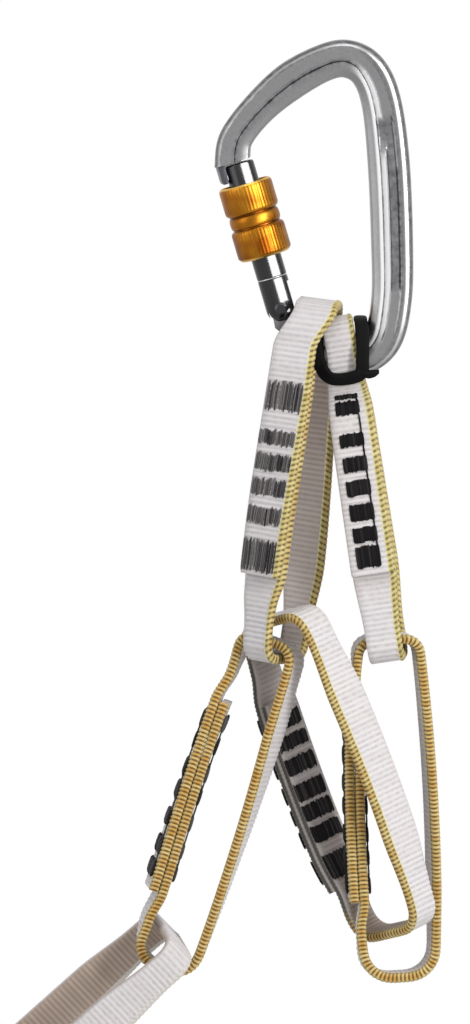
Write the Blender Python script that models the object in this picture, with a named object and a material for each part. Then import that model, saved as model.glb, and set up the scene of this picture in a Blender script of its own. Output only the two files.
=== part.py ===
"""A personal anchor chain: a screw-lock carabiner that carries a chain of six sewn webbing loops.

Run with Blender 4.5: blender --background --python part.py
Metres, +Z up. X is across the chain, Y is into the picture, Z is up. The origin is the middle of
the basket, the inner apex of the carabiner's bow, where a bolt or a rope bears when it is loaded.
"""

import math

import bmesh
import bpy
from mathutils import Matrix, Vector

MM = 0.001
FIT = 0.3 * MM  # gap between pieces that touch

# The tape that every loop is sewn from.
TAPE_WIDTH = 13.0 * MM
TAPE_THICKNESS = 2.6 * MM
TAPE_CORNER = 0.6 * MM
LAP_GAP = 0.3 * MM
LAP_EASE = 9.0 * MM  # length over which the tape steps from the lap back to its middle line
LAP_OFFSET = (TAPE_THICKNESS + LAP_GAP) / 2
LAP_HALF = LAP_OFFSET + TAPE_THICKNESS / 2

# How a loop's middle line is shaped and sampled.
PINCH_DEPTH = 21.0 * MM  # the keeper draws the end loop's legs together at this depth
PINCH_SPREAD = 5.0 * MM
GATHER_FULL = 8.0 * MM  # the tape is drawn in across its width over this much of a loop's end
GATHER_FADE = 20.0 * MM
LEAN_START = 5.0 * MM  # a leaning leg slides along the bar where the tape is clear of the gate
LEAN_DEPTH = 12.0 * MM  # the lean grows from nothing at the crest to its full amount at this depth
SAMPLES_PER_LEG = 64
ARC_SAMPLES = 12
LONGEST_STEP = 7.0 * MM
LARGEST_TURN = math.radians(20)
FINE_STEP = 0.5 * MM

# The bar tacks that hold a lap together.
TACK_THICKNESS = 0.7 * MM
TACK_POST = 1.5 * MM
RAIL_WIDTH = 1.3 * MM

# The gate, drawn in its own frame: z runs from its rivet up to the nose, x towards the spine.
GATE_PIVOT = Vector((-18.55, 0.0, -66.4)) * MM
GATE_LEAN = math.radians(16.4)  # the gate's top leans away from the spine
BARREL_RADIUS = 4.4 * MM
BARREL_TOP = 43.8 * MM
BARREL_BORE = 2.6 * MM
BARREL_BORE_TOP = 30.0 * MM
TONGUE_SLOT_TOP = 7.2 * MM
TONGUE_THICKNESS = 4.0 * MM
RIVET_RADIUS = 1.2 * MM
RIVET_HEAD = 1.9 * MM
CAM_RADIUS = 3.6 * MM
CAM_RISE = 2.0 * MM  # per radian of gate swing
LIP_INNER = 4.8 * MM
LIP_OUTER = 6.6 * MM
LIP_END = 38.9 * MM
LIP_ROOT = 44.9 * MM
LIP_SPREAD = math.radians(47)
TONGUE_ROOT = [(4.3, -3.5), (3.6, -8.0), (-0.4, -9.0), (-3.3, -5.0)]  # where it runs into the bow

# The plunger and the spring in the barrel's bore.
PLUNGER_TIP = CAM_RADIUS + FIT
PLUNGER_NOSE = 1.2 * MM
PLUNGER_SHOULDER = 7.6 * MM
PLUNGER_HEAD_TOP = 9.0 * MM
PLUNGER_STEM_TOP = 13.0 * MM
SPRING_RADIUS = 1.75 * MM
SPRING_WIRE = 0.3 * MM
SPRING_TURNS = 9
SPRING_LOW = PLUNGER_HEAD_TOP + FIT + SPRING_WIRE
SPRING_HIGH = BARREL_BORE_TOP - FIT - SPRING_WIRE
POINTS_PER_TURN = 9
WIRE_SIDES = 5

# The knurled sleeve that screws along the gate.
SLEEVE_LOW = 15.7 * MM
SLEEVE_HIGH = 37.7 * MM
SLEEVE_RADIUS = 7.9 * MM
SLEEVE_WAIST = 7.1 * MM
SLEEVE_BORE = 4.75 * MM
SLEEVE_MOUTH = 6.9 * MM
SLEEVE_MOUTH_DEPTH = 7.5 * MM
SLEEVE_FLUTES = 24
FLUTE_DEPTH = 0.4 * MM
RING_LOW = 8.8 * MM
RING_HIGH = 9.6 * MM
RING_INNER = 4.1 * MM
RING_OUTER = 4.95 * MM

# The bow of the carabiner: X and Z of its middle line, then half its width in the picture plane,
# half its depth, and how full its face is between the two raised edges.
BOW = [
    (-32.6, -24.3, 5.5, 4.5, 1.00),
    (-31.2, -17.2, 4.6, 4.5, 0.90),
    (-24.9, -8.6, 5.0, 4.6, 0.84),
    (-15.9, -0.8, 5.6, 4.8, 0.82),
    (-6.0, 4.6, 5.4, 5.0, 0.82),
    (0.8, 5.6, 5.5, 5.0, 0.80),
    (6.7, 2.0, 5.6, 5.0, 0.76),
    (10.4, -7.0, 5.8, 4.9, 0.70),
    (12.5, -24.0, 6.1, 4.8, 0.68),
    (13.5, -46.0, 6.1, 4.8, 0.68),
    (13.4, -64.0, 5.9, 4.9, 0.74),
    (10.4, -76.0, 5.7, 5.1, 0.86),
    (2.4, -81.2, 5.5, 5.2, 0.98),
    (-5.0, -79.0, 5.4, 5.2, 1.00),
    (-10.6, -75.4, 5.0, 5.0, 1.00),
    (-15.3, -71.6, 4.3, 4.4, 1.00),
]
BOW_STEPS = 3  # rings from one point of the bow to the next

# The bow's cross-section from its inner edge to its outer edge, as shares of its half width and
# half depth. The two inner points rise and sink with the fullness of the face.
EDGE_STATIONS = [(-0.93, 0.55), (-0.72, 0.93), (-0.44, 1.0)]
FACE_STATIONS = [-0.26, 0.26]

# The rubber keeper: a closed band that rides over the bar on both sides of the end loop's strap
# and crosses in front of it and behind it, below the bar. Points of its middle line at the front.
KEEPER_THICK = 2.0 * MM
KEEPER_WIDE = 3.8 * MM
KEEPER_SIDES = 8
KEEPER_STEPS = 3
KEEPER_MIDDLE = Vector((0.0, 0.0, -79.0)) * MM
KEEPER_TOP_RIGHT = (4.3, 0.0, -69.6)
KEEPER_TOP_LEFT = (-8.9, 0.0, -68.2)
KEEPER_FRONT = [
    (4.6, -6.0, -70.6),
    (4.9, -10.0, -74.8),
    (4.9, -11.3, -80.5),
    (4.4, -11.2, -84.6),
    (0.2, -10.8, -86.2),
    (-4.6, -10.5, -85.9),
    (-7.4, -8.8, -82.2),
    (-8.2, -7.5, -77.0),
    (-8.9, -5.2, -70.2),
]


class Loop:
    """One sewn loop of tape. It hangs from crest to foot, and gold_top and gold_foot point from
    its white edge to its coloured edge at its two ends. Its legs are half_top and half_foot from
    its middle line, and bow further out half way down. The leg with the lap leans this far along
    the bar, less and less towards the foot. With a twist below 1 the tape turns sooner."""

    def __init__(self, name, crest, foot, gold_top, gold_foot, half_top, half_foot, bow, tacks, **more):
        self.name = name
        self.crest = Vector(crest) * MM
        self.foot = Vector(foot) * MM
        self.gold_top = Vector(gold_top)
        self.gold_foot = Vector(gold_foot)
        self.half_top = half_top * MM
        self.half_foot = half_foot * MM
        self.bow = bow * MM
        self.tacks = [(at * MM, size * MM) for at, size in tacks]
        self.corner_top = more.get("corner_top", 4.5) * MM
        self.corner_foot = more.get("corner_foot", 4.5) * MM
        self.pinch = more.get("pinch", 0.0) * MM
        self.lean = more.get("lean", 0.0) * MM
        self.twist = more.get("twist", 1.0)
        self.gather_top = more.get("gather_top", 0.12)
        self.gather_foot = more.get("gather_foot", 0.12)
        self.tack_width = more.get("tack_width", 9.0) * MM
        self.length = (self.foot - self.crest).length
        self.down = (self.foot - self.crest).normalized()
        self.lap_start = self.tacks[0][0] - more.get("lead", 4.0) * MM
        self.lap_end = self.tacks[-1][0] + self.tacks[-1][1] + 4.0 * MM


def even_tacks(first, pitch, count, size):
    """Bars of one size at an even pitch down a leg, as (distance below the crest, bar length)."""
    return [(first + pitch * i, size) for i in range(count)]


LOOPS = [
    Loop(
        "shortening_loop",
        crest=(-7.5, 0, -65.4), foot=(-20.3, 0, -167.9),
        gold_top=(0.96, -0.08, -0.24), gold_foot=(0.85, -0.53, 0),
        half_top=15.2, half_foot=9.8, bow=0.2, corner_top=8.0, gather_top=0.04, gather_foot=0.3, lean=4.8,
        tacks=[(21.5, 7.5), (36, 3.6), (42.8, 4.3), (50.5, 4.4), (58, 4.4), (68.7, 8.4)],
        tack_width=11.0,
    ),
    Loop(
        "end_loop",
        crest=(-2.3, 0, -70.2), foot=(12.75, 0, -167.6),
        gold_top=(0.91, 0, -0.41), gold_foot=(0.99, -0.08, 0),
        half_top=8.5, half_foot=8.9, bow=-1.2, corner_top=6.0, pinch=2.9, gather_top=0.3,
        gather_foot=0.2, lead=3.0,
        tacks=[
            (20.9, 1.3), (23.4, 3.8), (31.1, 3.6), (37.8, 4.1), (44.8, 4.3), (51.7, 4.6), (58.9, 4.1),
            (64.6, 6),
        ],
        tack_width=6.3,
    ),
    Loop(
        "second_loop",
        crest=(12.2, 0, -162.6), foot=(15.8, 0, -261.2),
        gold_top=(0.12, -0.99, 0), gold_foot=(0.17, -0.98, 0),
        half_top=8.6, half_foot=10.1, bow=1.8, corner_foot=8.0, gather_foot=0.3,
        tacks=even_tacks(24, 7.3, 7, 4.0),
        tack_width=9.0,
    ),
    Loop(
        "third_loop",
        crest=(-18.9, 0.5, -156.7), foot=(15.4, 0, -247.5),
        gold_top=(-0.72, -0.638, -0.268), gold_foot=(-0.68, -0.69, -0.25),
        half_top=13.6, half_foot=12.4, bow=3.5, corner_top=6.0, corner_foot=6.6, gather_top=0.24,
        gather_foot=0.25,
        tacks=[(27, 4.2), (33.6, 3.8), (39.8, 4.6), (47, 4.8), (54.2, 4.4), (61.2, 4.6), (70, 7)],
        tack_width=10.0,
    ),
    Loop(
        "fifth_loop",
        crest=(-20.9, -1.2, -163.4), foot=(-52.75, 0, -258.6),
        gold_top=(-0.45, -0.89, 0), gold_foot=(-0.08, -1.0, 0),
        half_top=8.45, half_foot=8.6, bow=1.0, corner_foot=7.0, gather_top=0.3, gather_foot=0.32, twist=0.8,
        tacks=even_tacks(24, 7.8, 7, 4.2),
        tack_width=9.0,
    ),
    Loop(
        "harness_loop",
        crest=(-50.2, 0, -250.2), foot=(-165.0, 0, -352.0),
        gold_top=(0.62, 0.35, -0.705), gold_foot=(0.62, 0.35, -0.705),
        half_top=12.6, half_foot=9.5, bow=0.9, corner_top=5.0, corner_foot=8.0, gather_top=0.22,
        tacks=even_tacks(78, 7.3, 7, 4.0),
        tack_width=9.0,
    ),
]


def clear_scene():
    """Takes away whatever the scene holds."""
    for thing in list(bpy.data.objects):
        bpy.data.objects.remove(thing)


def finish(name, red, green, blue, metallic, roughness):
    """A plain material with a colour, a metallic value and a roughness."""
    found = bpy.data.materials.get(name)
    if found:
        return found
    made = bpy.data.materials.new(name)
    made.use_nodes = True
    made.diffuse_color = (red, green, blue, 1.0)
    shader = made.node_tree.nodes["Principled BSDF"]
    shader.inputs["Base Color"].default_value = (red, green, blue, 1.0)
    shader.inputs["Metallic"].default_value = metallic
    shader.inputs["Roughness"].default_value = roughness
    return made


def add_object(name, bm, material=None, parent=None, smooth=35.0):
    """Turns a bmesh into a named object. One without a material is a hidden cutter."""
    bmesh.ops.recalc_face_normals(bm, faces=bm.faces)
    mesh = bpy.data.meshes.new(name)
    bm.to_mesh(mesh)
    bm.free()
    made = bpy.data.objects.new(name, mesh)
    bpy.context.collection.objects.link(made)
    made.parent = parent
    if material:
        mesh.materials.append(material)
        mesh.shade_smooth()
        mesh.set_sharp_from_angle(angle=math.radians(smooth))
    else:
        made.hide_render = True
        made.display_type = "WIRE"
    return made


def combine(target, other, operation):
    """Cuts one hidden object from another, or joins it on."""
    modifier = target.modifiers.new(operation.title(), "BOOLEAN")
    modifier.operation = operation
    modifier.solver = "EXACT"
    modifier.object = other


def ring_of(bm, points):
    return [bm.verts.new(point) for point in points]


def skin(bm, rings, closed=False):
    """Joins rings of vertices into a tube, with a cap at each end unless the tube is closed."""
    pairs = list(zip(rings, rings[1:]))
    if closed:
        pairs.append((rings[-1], rings[0]))
    for near, far in pairs:
        count = len(near)
        for i in range(count):
            j = (i + 1) % count
            bm.faces.new((near[i], near[j], far[j], far[i]))
    if not closed:
        bm.faces.new(list(reversed(rings[0])))
        bm.faces.new(rings[-1])


def turned(profile, segments, fluted=()):
    """Spins a closed outline of (radius, height) points about z. Points listed in fluted lie on
    alternate radii, which makes shallow flutes."""
    bm = bmesh.new()
    rings = []
    for index, (radius, height) in enumerate(profile):
        points = []
        for i in range(segments):
            angle = math.tau * i / segments
            r = radius - (FLUTE_DEPTH if index in fluted and i % 2 else 0.0)
            points.append((r * math.cos(angle), r * math.sin(angle), height))
        rings.append(ring_of(bm, points))
    skin(bm, rings, closed=True)
    return bm


def solid_of_revolution(profile, segments):
    """Spins an open outline of (radius, height) points about z and caps its two flat ends."""
    bm = bmesh.new()
    rings = []
    for radius, height in profile:
        angles = [math.tau * i / segments for i in range(segments)]
        rings.append(ring_of(bm, [(radius * math.cos(a), radius * math.sin(a), height) for a in angles]))
    skin(bm, rings)
    return bm


def box(bm, low, high):
    """Adds a box between two corners."""
    size = Vector(high) - Vector(low)
    middle = (Vector(high) + Vector(low)) / 2
    place = Matrix.Translation(middle) @ Matrix.Diagonal((*size, 1.0))
    bmesh.ops.create_cube(bm, size=1.0, matrix=place)


def prism(outline, low, high):
    """A flat plate: an outline of (x, z) points, from y = low to y = high."""
    bm = bmesh.new()
    near = ring_of(bm, [(x, low, z) for x, z in outline])
    far = ring_of(bm, [(x, high, z) for x, z in outline])
    skin(bm, [near, far])
    return bm


def through_points(points, steps):
    """A smooth curve through rows of numbers, by Catmull-Rom, with this many steps between rows."""
    rows = [points[0], *points, points[-1]]
    curve = []
    for i in range(1, len(rows) - 2):
        for step in range(steps):
            t = step / steps
            a, b, c, d = rows[i - 1 : i + 3]
            curve.append(
                [
                    q + 0.5 * t * (r - p + t * (2 * p - 5 * q + 4 * r - s + t * (3 * (q - r) + s - p)))
                    for p, q, r, s in zip(a, b, c, d)
                ]
            )
    curve.append(list(points[-1]))
    return curve


def smoothstep(t):
    t = min(max(t, 0.0), 1.0)
    return t * t * (3 - 2 * t)


def bow_section(half_width, half_depth, fullness):
    """Points of the section as (across, depth), once round from the inner edge."""
    front = list(EDGE_STATIONS)
    front += [(s, fullness) for s in FACE_STATIONS]
    front += [(-s, d) for s, d in reversed(EDGE_STATIONS)]
    loop = [(-1.0, 0.0)] + front + [(1.0, 0.0)] + [(s, -d) for s, d in reversed(front)]
    return [(s * half_width, d * half_depth) for s, d in loop]


def bow_mesh():
    """Sweeps the section along the bow, from the nose over the top and down the spine."""
    rows = through_points(BOW, BOW_STEPS)
    bm = bmesh.new()
    rings = []
    for i, (x, z, half_width, half_depth, fullness) in enumerate(rows):
        before = rows[max(i - 1, 0)]
        after = rows[min(i + 1, len(rows) - 1)]
        run = Vector((after[0] - before[0], 0.0, after[1] - before[1])).normalized()
        if i == 0:
            run = Vector((-math.sin(GATE_LEAN), 0.0, math.cos(GATE_LEAN)))
        outward = Vector((-run.z, 0.0, run.x))
        centre = Vector((x, 0.0, z)) * MM
        points = [
            centre + outward * across * MM + Vector((0.0, depth * MM, 0.0))
            for across, depth in bow_section(half_width, half_depth, fullness)
        ]
        rings.append(ring_of(bm, points))
    skin(bm, rings)
    return bm


def cam_radius(angle):
    """The tongue's edge rises steadily on the side that the gate swings to."""
    if angle > math.radians(50):
        return CAM_RADIUS
    return CAM_RADIUS + CAM_RISE * max(angle, math.radians(-20))


def tongue_mesh():
    """The flat tongue of the bow that the gate turns on, in the gate's frame."""
    outline = []
    for step in range(-11, 10):
        angle = math.radians(step * 9.0)
        r = cam_radius(angle)
        outline.append((r * math.sin(angle), r * math.cos(angle)))
    outline += [(x * MM, z * MM) for x, z in TONGUE_ROOT]
    return prism(outline, -TONGUE_THICKNESS / 2, TONGUE_THICKNESS / 2)


def lip_mesh():
    """The lip of the nose: a part ring outside the gate's top, on the side away from the spine."""
    bm = bmesh.new()
    rings = []
    for step in range(9):
        angle = math.pi + LIP_SPREAD * (step / 4 - 1)
        out = Vector((math.cos(angle), math.sin(angle), 0.0))
        low = Vector((0, 0, LIP_END))
        high = Vector((0, 0, LIP_ROOT))
        points = [
            out * LIP_INNER + low, out * (LIP_OUTER - 0.7 * MM) + low,
            out * LIP_OUTER + low + Vector((0, 0, 1.0 * MM)), out * LIP_OUTER + high, out * LIP_INNER + high,
        ]
        rings.append(ring_of(bm, points))
    skin(bm, rings)
    return bm


def key_mesh(grow, low_drop, reach):
    """The T-shaped key under the nose, or, grown, the slot for it in the gate's top."""
    left = -(3.2 * MM) - (8.0 * MM if reach else 0.0)
    right = 1.0 * MM + (0.5 * MM if reach else 0.0)
    bm = bmesh.new()
    foot_low = BARREL_TOP - 3.6 * MM - low_drop
    foot_high = BARREL_TOP - 2.2 * MM + grow
    stem_high = BARREL_TOP + 1.6 * MM
    half_stem = 1.4 * MM + grow
    half_foot = 2.5 * MM + grow
    section = [
        (-half_foot, foot_low), (half_foot, foot_low), (half_foot, foot_high), (half_stem, foot_high),
        (half_stem, stem_high), (-half_stem, stem_high), (-half_stem, foot_high), (-half_foot, foot_high),
    ]
    near = ring_of(bm, [(left, y, z) for y, z in section])
    far = ring_of(bm, [(right, y, z) for y, z in section])
    skin(bm, [near, far])
    return bm


def cylinder_along_y(radius, half_length, segments=20):
    bm = solid_of_revolution([(radius, -half_length), (radius, half_length)], segments)
    bmesh.ops.rotate(bm, verts=bm.verts, matrix=Matrix.Rotation(math.pi / 2, 3, "X"))
    return bm


def make_carabiner(gate_frame):
    """The forged bow with its nose, its lip and the tongue of its hinge."""
    silver = finish("polished_aluminium", 0.62, 0.63, 0.65, 1.0, 0.25)
    body = add_object("carabiner_body", bow_mesh(), silver, smooth=40.0)
    for name, bm in (
        ("tongue_shape", tongue_mesh()),
        ("lip_shape", lip_mesh()),
        ("key_shape", key_mesh(0.0, 0.0, False)),
    ):
        combine(body, add_object(name, bm, parent=gate_frame), "UNION")
    hole = add_object("rivet_hole_shape", cylinder_along_y(RIVET_RADIUS + FIT, 8 * MM), parent=gate_frame)
    combine(body, hole, "DIFFERENCE")
    return body


def make_gate(gate_frame):
    """The hollow gate barrel, with a slot for the tongue, one for the nose's key and a groove."""
    black = finish("black_anodised_aluminium", 0.02, 0.02, 0.022, 1.0, 0.22)
    lower_end = [
        (BARREL_RADIUS * math.sin(a), -BARREL_RADIUS * math.cos(a))
        for a in (math.radians(14 + 15.2 * i) for i in range(6))
    ]
    profile = lower_end + [
        (RING_INNER - FIT, RING_LOW - FIT), (RING_INNER - FIT, RING_HIGH + FIT),
        (BARREL_RADIUS, RING_HIGH + FIT), (BARREL_RADIUS, BARREL_TOP - 0.5 * MM),
        (BARREL_RADIUS - 0.5 * MM, BARREL_TOP),
    ]
    profile.insert(6, (BARREL_RADIUS, RING_LOW - FIT))
    barrel = add_object("gate_barrel", solid_of_revolution(profile, 28), black, gate_frame)
    slot = bmesh.new()
    half_slot = TONGUE_THICKNESS / 2 + FIT
    box(slot, (-9 * MM, -half_slot, -9 * MM), (9 * MM, half_slot, TONGUE_SLOT_TOP))
    bore = [(BARREL_BORE, TONGUE_SLOT_TOP - 2 * MM), (BARREL_BORE, BARREL_BORE_TOP)]
    for name, bm in (
        ("tongue_slot_shape", slot),
        ("spring_bore_shape", solid_of_revolution(bore, 20)),
        ("key_slot_shape", key_mesh(0.4 * MM, 0.5 * MM, True)),
        ("barrel_rivet_hole_shape", cylinder_along_y(RIVET_RADIUS + FIT, 8 * MM)),
    ):
        combine(barrel, add_object(name, bm, parent=gate_frame), "DIFFERENCE")
    return barrel


def make_rivet(gate_frame):
    """The rivet that the gate swings on, with a low head at each end."""
    steel = finish("rivet_steel", 0.35, 0.35, 0.36, 1.0, 0.3)
    inner = BARREL_RADIUS + FIT
    outer = inner + 0.55 * MM
    profile = [
        (RIVET_HEAD - 0.6 * MM, -outer), (RIVET_HEAD, -inner - 0.2 * MM), (RIVET_HEAD, -inner),
        (RIVET_RADIUS, -inner), (RIVET_RADIUS, inner), (RIVET_HEAD, inner),
        (RIVET_HEAD, inner + 0.2 * MM), (RIVET_HEAD - 0.6 * MM, outer),
    ]
    bm = solid_of_revolution(profile, 20)
    bmesh.ops.rotate(bm, verts=bm.verts, matrix=Matrix.Rotation(math.pi / 2, 3, "X"))
    return add_object("gate_rivet", bm, steel, gate_frame)


def make_plunger(gate_frame):
    """The pin that the spring pushes against the tongue's edge."""
    steel = finish("plunger_steel", 0.45, 0.45, 0.46, 1.0, 0.3)
    profile = []
    for step in range(1, 5):
        angle = math.radians(22.5 * step)
        profile.append((PLUNGER_NOSE * math.sin(angle), PLUNGER_TIP + PLUNGER_NOSE * (1 - math.cos(angle))))
    profile += [
        (PLUNGER_NOSE, PLUNGER_SHOULDER), (2.25 * MM, PLUNGER_SHOULDER), (2.25 * MM, PLUNGER_HEAD_TOP),
        (1.0 * MM, PLUNGER_HEAD_TOP), (1.0 * MM, PLUNGER_STEM_TOP), (0.7 * MM, PLUNGER_STEM_TOP + 0.3 * MM),
    ]
    return add_object("gate_plunger", solid_of_revolution(profile, 16), steel, gate_frame)


def make_spring(gate_frame):
    """The coil spring in the barrel's bore, as one tube that winds up from the plunger's head."""
    steel = finish("spring_steel", 0.5, 0.5, 0.5, 1.0, 0.35)
    bm = bmesh.new()
    rings = []
    rise = (SPRING_HIGH - SPRING_LOW) / (SPRING_TURNS * math.tau)
    for step in range(SPRING_TURNS * POINTS_PER_TURN + 1):
        angle = math.tau * step / POINTS_PER_TURN
        out = Vector((math.cos(angle), math.sin(angle), 0.0))
        along = Vector((-SPRING_RADIUS * out.y, SPRING_RADIUS * out.x, rise)).normalized()
        side = along.cross(out)
        centre = out * SPRING_RADIUS + Vector((0, 0, SPRING_LOW + rise * angle))
        turns = [math.tau * i / WIRE_SIDES for i in range(WIRE_SIDES)]
        wire = [SPRING_WIRE * (out * math.cos(t) + side * math.sin(t)) for t in turns]
        rings.append(ring_of(bm, [centre + offset for offset in wire]))
    skin(bm, rings)
    return add_object("gate_spring", bm, steel, gate_frame)


def make_stop_ring(gate_frame):
    """The snap ring in the barrel's groove that stops the sleeve at the bottom of its travel."""
    steel = finish("ring_steel", 0.7, 0.7, 0.7, 1.0, 0.25)
    profile = [
        (RING_INNER, RING_LOW), (RING_OUTER, RING_LOW), (RING_OUTER, RING_HIGH), (RING_INNER, RING_HIGH),
    ]
    return add_object("sleeve_stop_ring", turned(profile, 32), steel, gate_frame)


def make_sleeve(gate_frame):
    """The locking sleeve: two knurled drums with a smooth waist between, and a wide upper mouth."""
    gold = finish("orange_anodised_aluminium", 0.72, 0.36, 0.05, 1.0, 0.32)
    low = SLEEVE_LOW
    high = SLEEVE_HIGH
    shoulder = high - SLEEVE_MOUTH_DEPTH
    profile = [
        (SLEEVE_BORE, low), (SLEEVE_RADIUS - 0.9 * MM, low),
        (SLEEVE_RADIUS, low + 0.9 * MM), (SLEEVE_RADIUS, low + 8.6 * MM),
        (SLEEVE_WAIST, low + 9.6 * MM), (SLEEVE_WAIST, low + 12.6 * MM),
        (SLEEVE_RADIUS, low + 13.6 * MM), (SLEEVE_RADIUS, high - 0.8 * MM),
        (SLEEVE_RADIUS - 0.5 * MM, high), (SLEEVE_MOUTH, high),
        (SLEEVE_MOUTH, shoulder), (SLEEVE_BORE, shoulder),
    ]
    bm = turned(profile, SLEEVE_FLUTES * 2, fluted=(2, 3, 6, 7))
    return add_object("screw_sleeve", bm, gold, gate_frame, smooth=25.0)


def leg_half(loop, down):
    """Half the distance between a loop's legs, at this distance below its crest."""
    share = down / loop.length
    half = loop.half_top + (loop.half_foot - loop.half_top) * share + loop.bow * 4 * share * (1 - share)
    squeeze = (down - PINCH_DEPTH) / PINCH_SPREAD
    return half - loop.pinch * math.exp(-squeeze * squeeze)


def half_outline(loop):
    """One side of a loop's middle line as (down, out) points, from crest to foot."""
    top = loop.corner_top
    foot = loop.corner_foot
    points = []
    top_half = leg_half(loop, top)
    for i in range(5):
        points.append((0.0, (top_half - top) * i / 5))
    for i in range(ARC_SAMPLES):
        angle = math.pi / 2 * i / ARC_SAMPLES
        points.append((top * (1 - math.cos(angle)), top_half - top + top * math.sin(angle)))
    for i in range(SAMPLES_PER_LEG):
        down = top + (loop.length - top - foot) * i / SAMPLES_PER_LEG
        points.append((down, leg_half(loop, down)))
    foot_half = leg_half(loop, loop.length - foot)
    for i in range(ARC_SAMPLES):
        angle = math.pi / 2 * i / ARC_SAMPLES
        round_off = (foot * math.sin(angle), foot * math.cos(angle))
        points.append((loop.length - foot + round_off[0], foot_half - foot + round_off[1]))
    for i in range(5):
        points.append((loop.length, (foot_half - foot) * (5 - i) / 5))
    return points


def closed_outline(loop):
    """The whole middle line: down the side that holds the lap, and back up the other."""
    down_side = half_outline(loop)
    up_side = [(down, -out) for down, out in reversed(down_side[1:])]
    points = down_side + [(loop.length, 0.0)] + up_side
    for _ in range(3):
        count = len(points)
        points = [
            tuple((points[i - 1][k] + 2 * points[i][k] + points[(i + 1) % count][k]) / 4 for k in (0, 1))
            for i in range(count)
        ]
    return points


class Route:
    """A loop's middle line, measured along its length from the crest."""

    def __init__(self, loop):
        self.loop = loop
        self.points = closed_outline(loop)
        self.marks = [0.0]
        for i in range(len(self.points)):
            a = self.points[i]
            b = self.points[(i + 1) % len(self.points)]
            self.marks.append(self.marks[-1] + math.dist(a, b))
        self.total = self.marks[-1]

    def at(self, run):
        """The point and the outward normal at a distance along the line."""
        run = run % self.total
        low, high = 0, len(self.marks) - 1
        while high - low > 1:
            middle = (low + high) // 2
            if self.marks[middle] <= run:
                low = middle
            else:
                high = middle
        share = (run - self.marks[low]) / (self.marks[low + 1] - self.marks[low])
        count = len(self.points)
        corners = [self.points[(low + k) % count] for k in (-1, 0, 1, 2)]
        point = [corners[1][k] + (corners[2][k] - corners[1][k]) * share for k in (0, 1)]
        near = [corners[2][k] - corners[0][k] for k in (0, 1)]
        far = [corners[3][k] - corners[1][k] for k in (0, 1)]
        run_x, run_y = (near[k] + (far[k] - near[k]) * share for k in (0, 1))
        size = math.hypot(run_x, run_y)
        return point, (-run_y / size, run_x / size)

    def run_at_depth(self, down):
        """How far along the line the lap's leg reaches this distance below the crest."""
        for i in range(1, len(self.points)):
            if self.points[i][1] > self.loop.half_top / 2 and self.points[i][0] >= down:
                return self.marks[i]
        return self.total / 2

    def place(self, run, height, across):
        """A point of space: along the line, out from it, and across the tape to its gold edge."""
        (down, out), (normal_down, normal_out) = self.at(run)
        down += normal_down * height
        out += normal_out * height
        loop = self.loop
        share = smoothstep(max(down / loop.length, 0.0) ** loop.twist)
        gold = loop.gold_top.lerp(loop.gold_foot, share)
        gold = (gold - loop.down * gold.dot(loop.down)).normalized()
        opening = loop.down.cross(gold)
        near_crest = 1.0 - smoothstep((down - GATHER_FULL) / GATHER_FADE)
        near_foot = 1.0 - smoothstep((loop.length - down - GATHER_FULL) / GATHER_FADE)
        across *= 1.0 - loop.gather_top * near_crest - loop.gather_foot * near_foot
        beyond = (out - LEAN_START) / (leg_half(loop, down) - LEAN_START)
        lean = loop.lean * (1.0 - down / loop.length) * smoothstep(beyond) * smoothstep(down / LEAN_DEPTH)
        return loop.crest + loop.down * down + opening * out + gold * across - Vector((lean, 0.0, 0.0))


def tape_height(run, start, end, total):
    """How far the tape lies from its middle line: inside at the lap's start, outside at its end."""
    if run <= end:
        return -LAP_OFFSET
    if run <= end + LAP_EASE:
        return -LAP_OFFSET * (1 - smoothstep((run - end) / LAP_EASE))
    if run < start + total - LAP_EASE:
        return 0.0
    if run < start + total:
        return LAP_OFFSET * smoothstep((run - (start + total - LAP_EASE)) / LAP_EASE)
    return LAP_OFFSET


def tape_stations(route, start, end):
    """Distances along the tape: close together in the bends and wide apart on the straights."""
    last = end + route.total
    stations = [start]
    turn = 0.0
    heading = route.at(start)[1]
    run = start
    back = start + route.total
    fixed = [end, end + LAP_EASE / 2, end + LAP_EASE, back - LAP_EASE, back - LAP_EASE / 2, back]
    while run < last - FINE_STEP:
        run += FINE_STEP
        now = route.at(run)[1]
        turn += abs(Vector(heading).angle_signed(Vector(now)))
        heading = now
        if fixed and run >= fixed[0]:
            stations.append(fixed.pop(0))
            turn = 0.0
        elif run - stations[-1] >= LONGEST_STEP or turn >= LARGEST_TURN:
            stations.append(run)
            turn = 0.0
    if last - stations[-1] < FINE_STEP:
        stations.pop()
    stations.append(last)
    return stations


def tape_section():
    """The tape's cross-section as (height, across), a flat bar with its corners taken off."""
    half_t = TAPE_THICKNESS / 2
    half_w = TAPE_WIDTH / 2
    c = TAPE_CORNER
    return [
        (half_t, -half_w + c), (half_t, half_w - c), (half_t - c, half_w), (-half_t + c, half_w),
        (-half_t, half_w - c), (-half_t, -half_w + c), (-half_t + c, -half_w), (half_t - c, -half_w),
    ]


def tape_mesh(route, start, end):
    bm = bmesh.new()
    rings = []
    for run in tape_stations(route, start, end):
        height = tape_height(run, start, end, route.total)
        rings.append(ring_of(bm, [route.place(run, height + h, a) for h, a in tape_section()]))
    skin(bm, rings)
    return bm


def curved_block(bm, route, run_range, height_range, across_range, pieces=1):
    """A block laid along the tape, bent with it in this many pieces."""
    rings = []
    for i in range(pieces + 1):
        run = run_range[0] + (run_range[1] - run_range[0]) * i / pieces
        corners = [(height_range[i], across_range[j]) for i, j in ((0, 0), (1, 0), (1, 1), (0, 1))]
        rings.append(ring_of(bm, [route.place(run, h, a) for h, a in corners]))
    skin(bm, rings)


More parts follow.
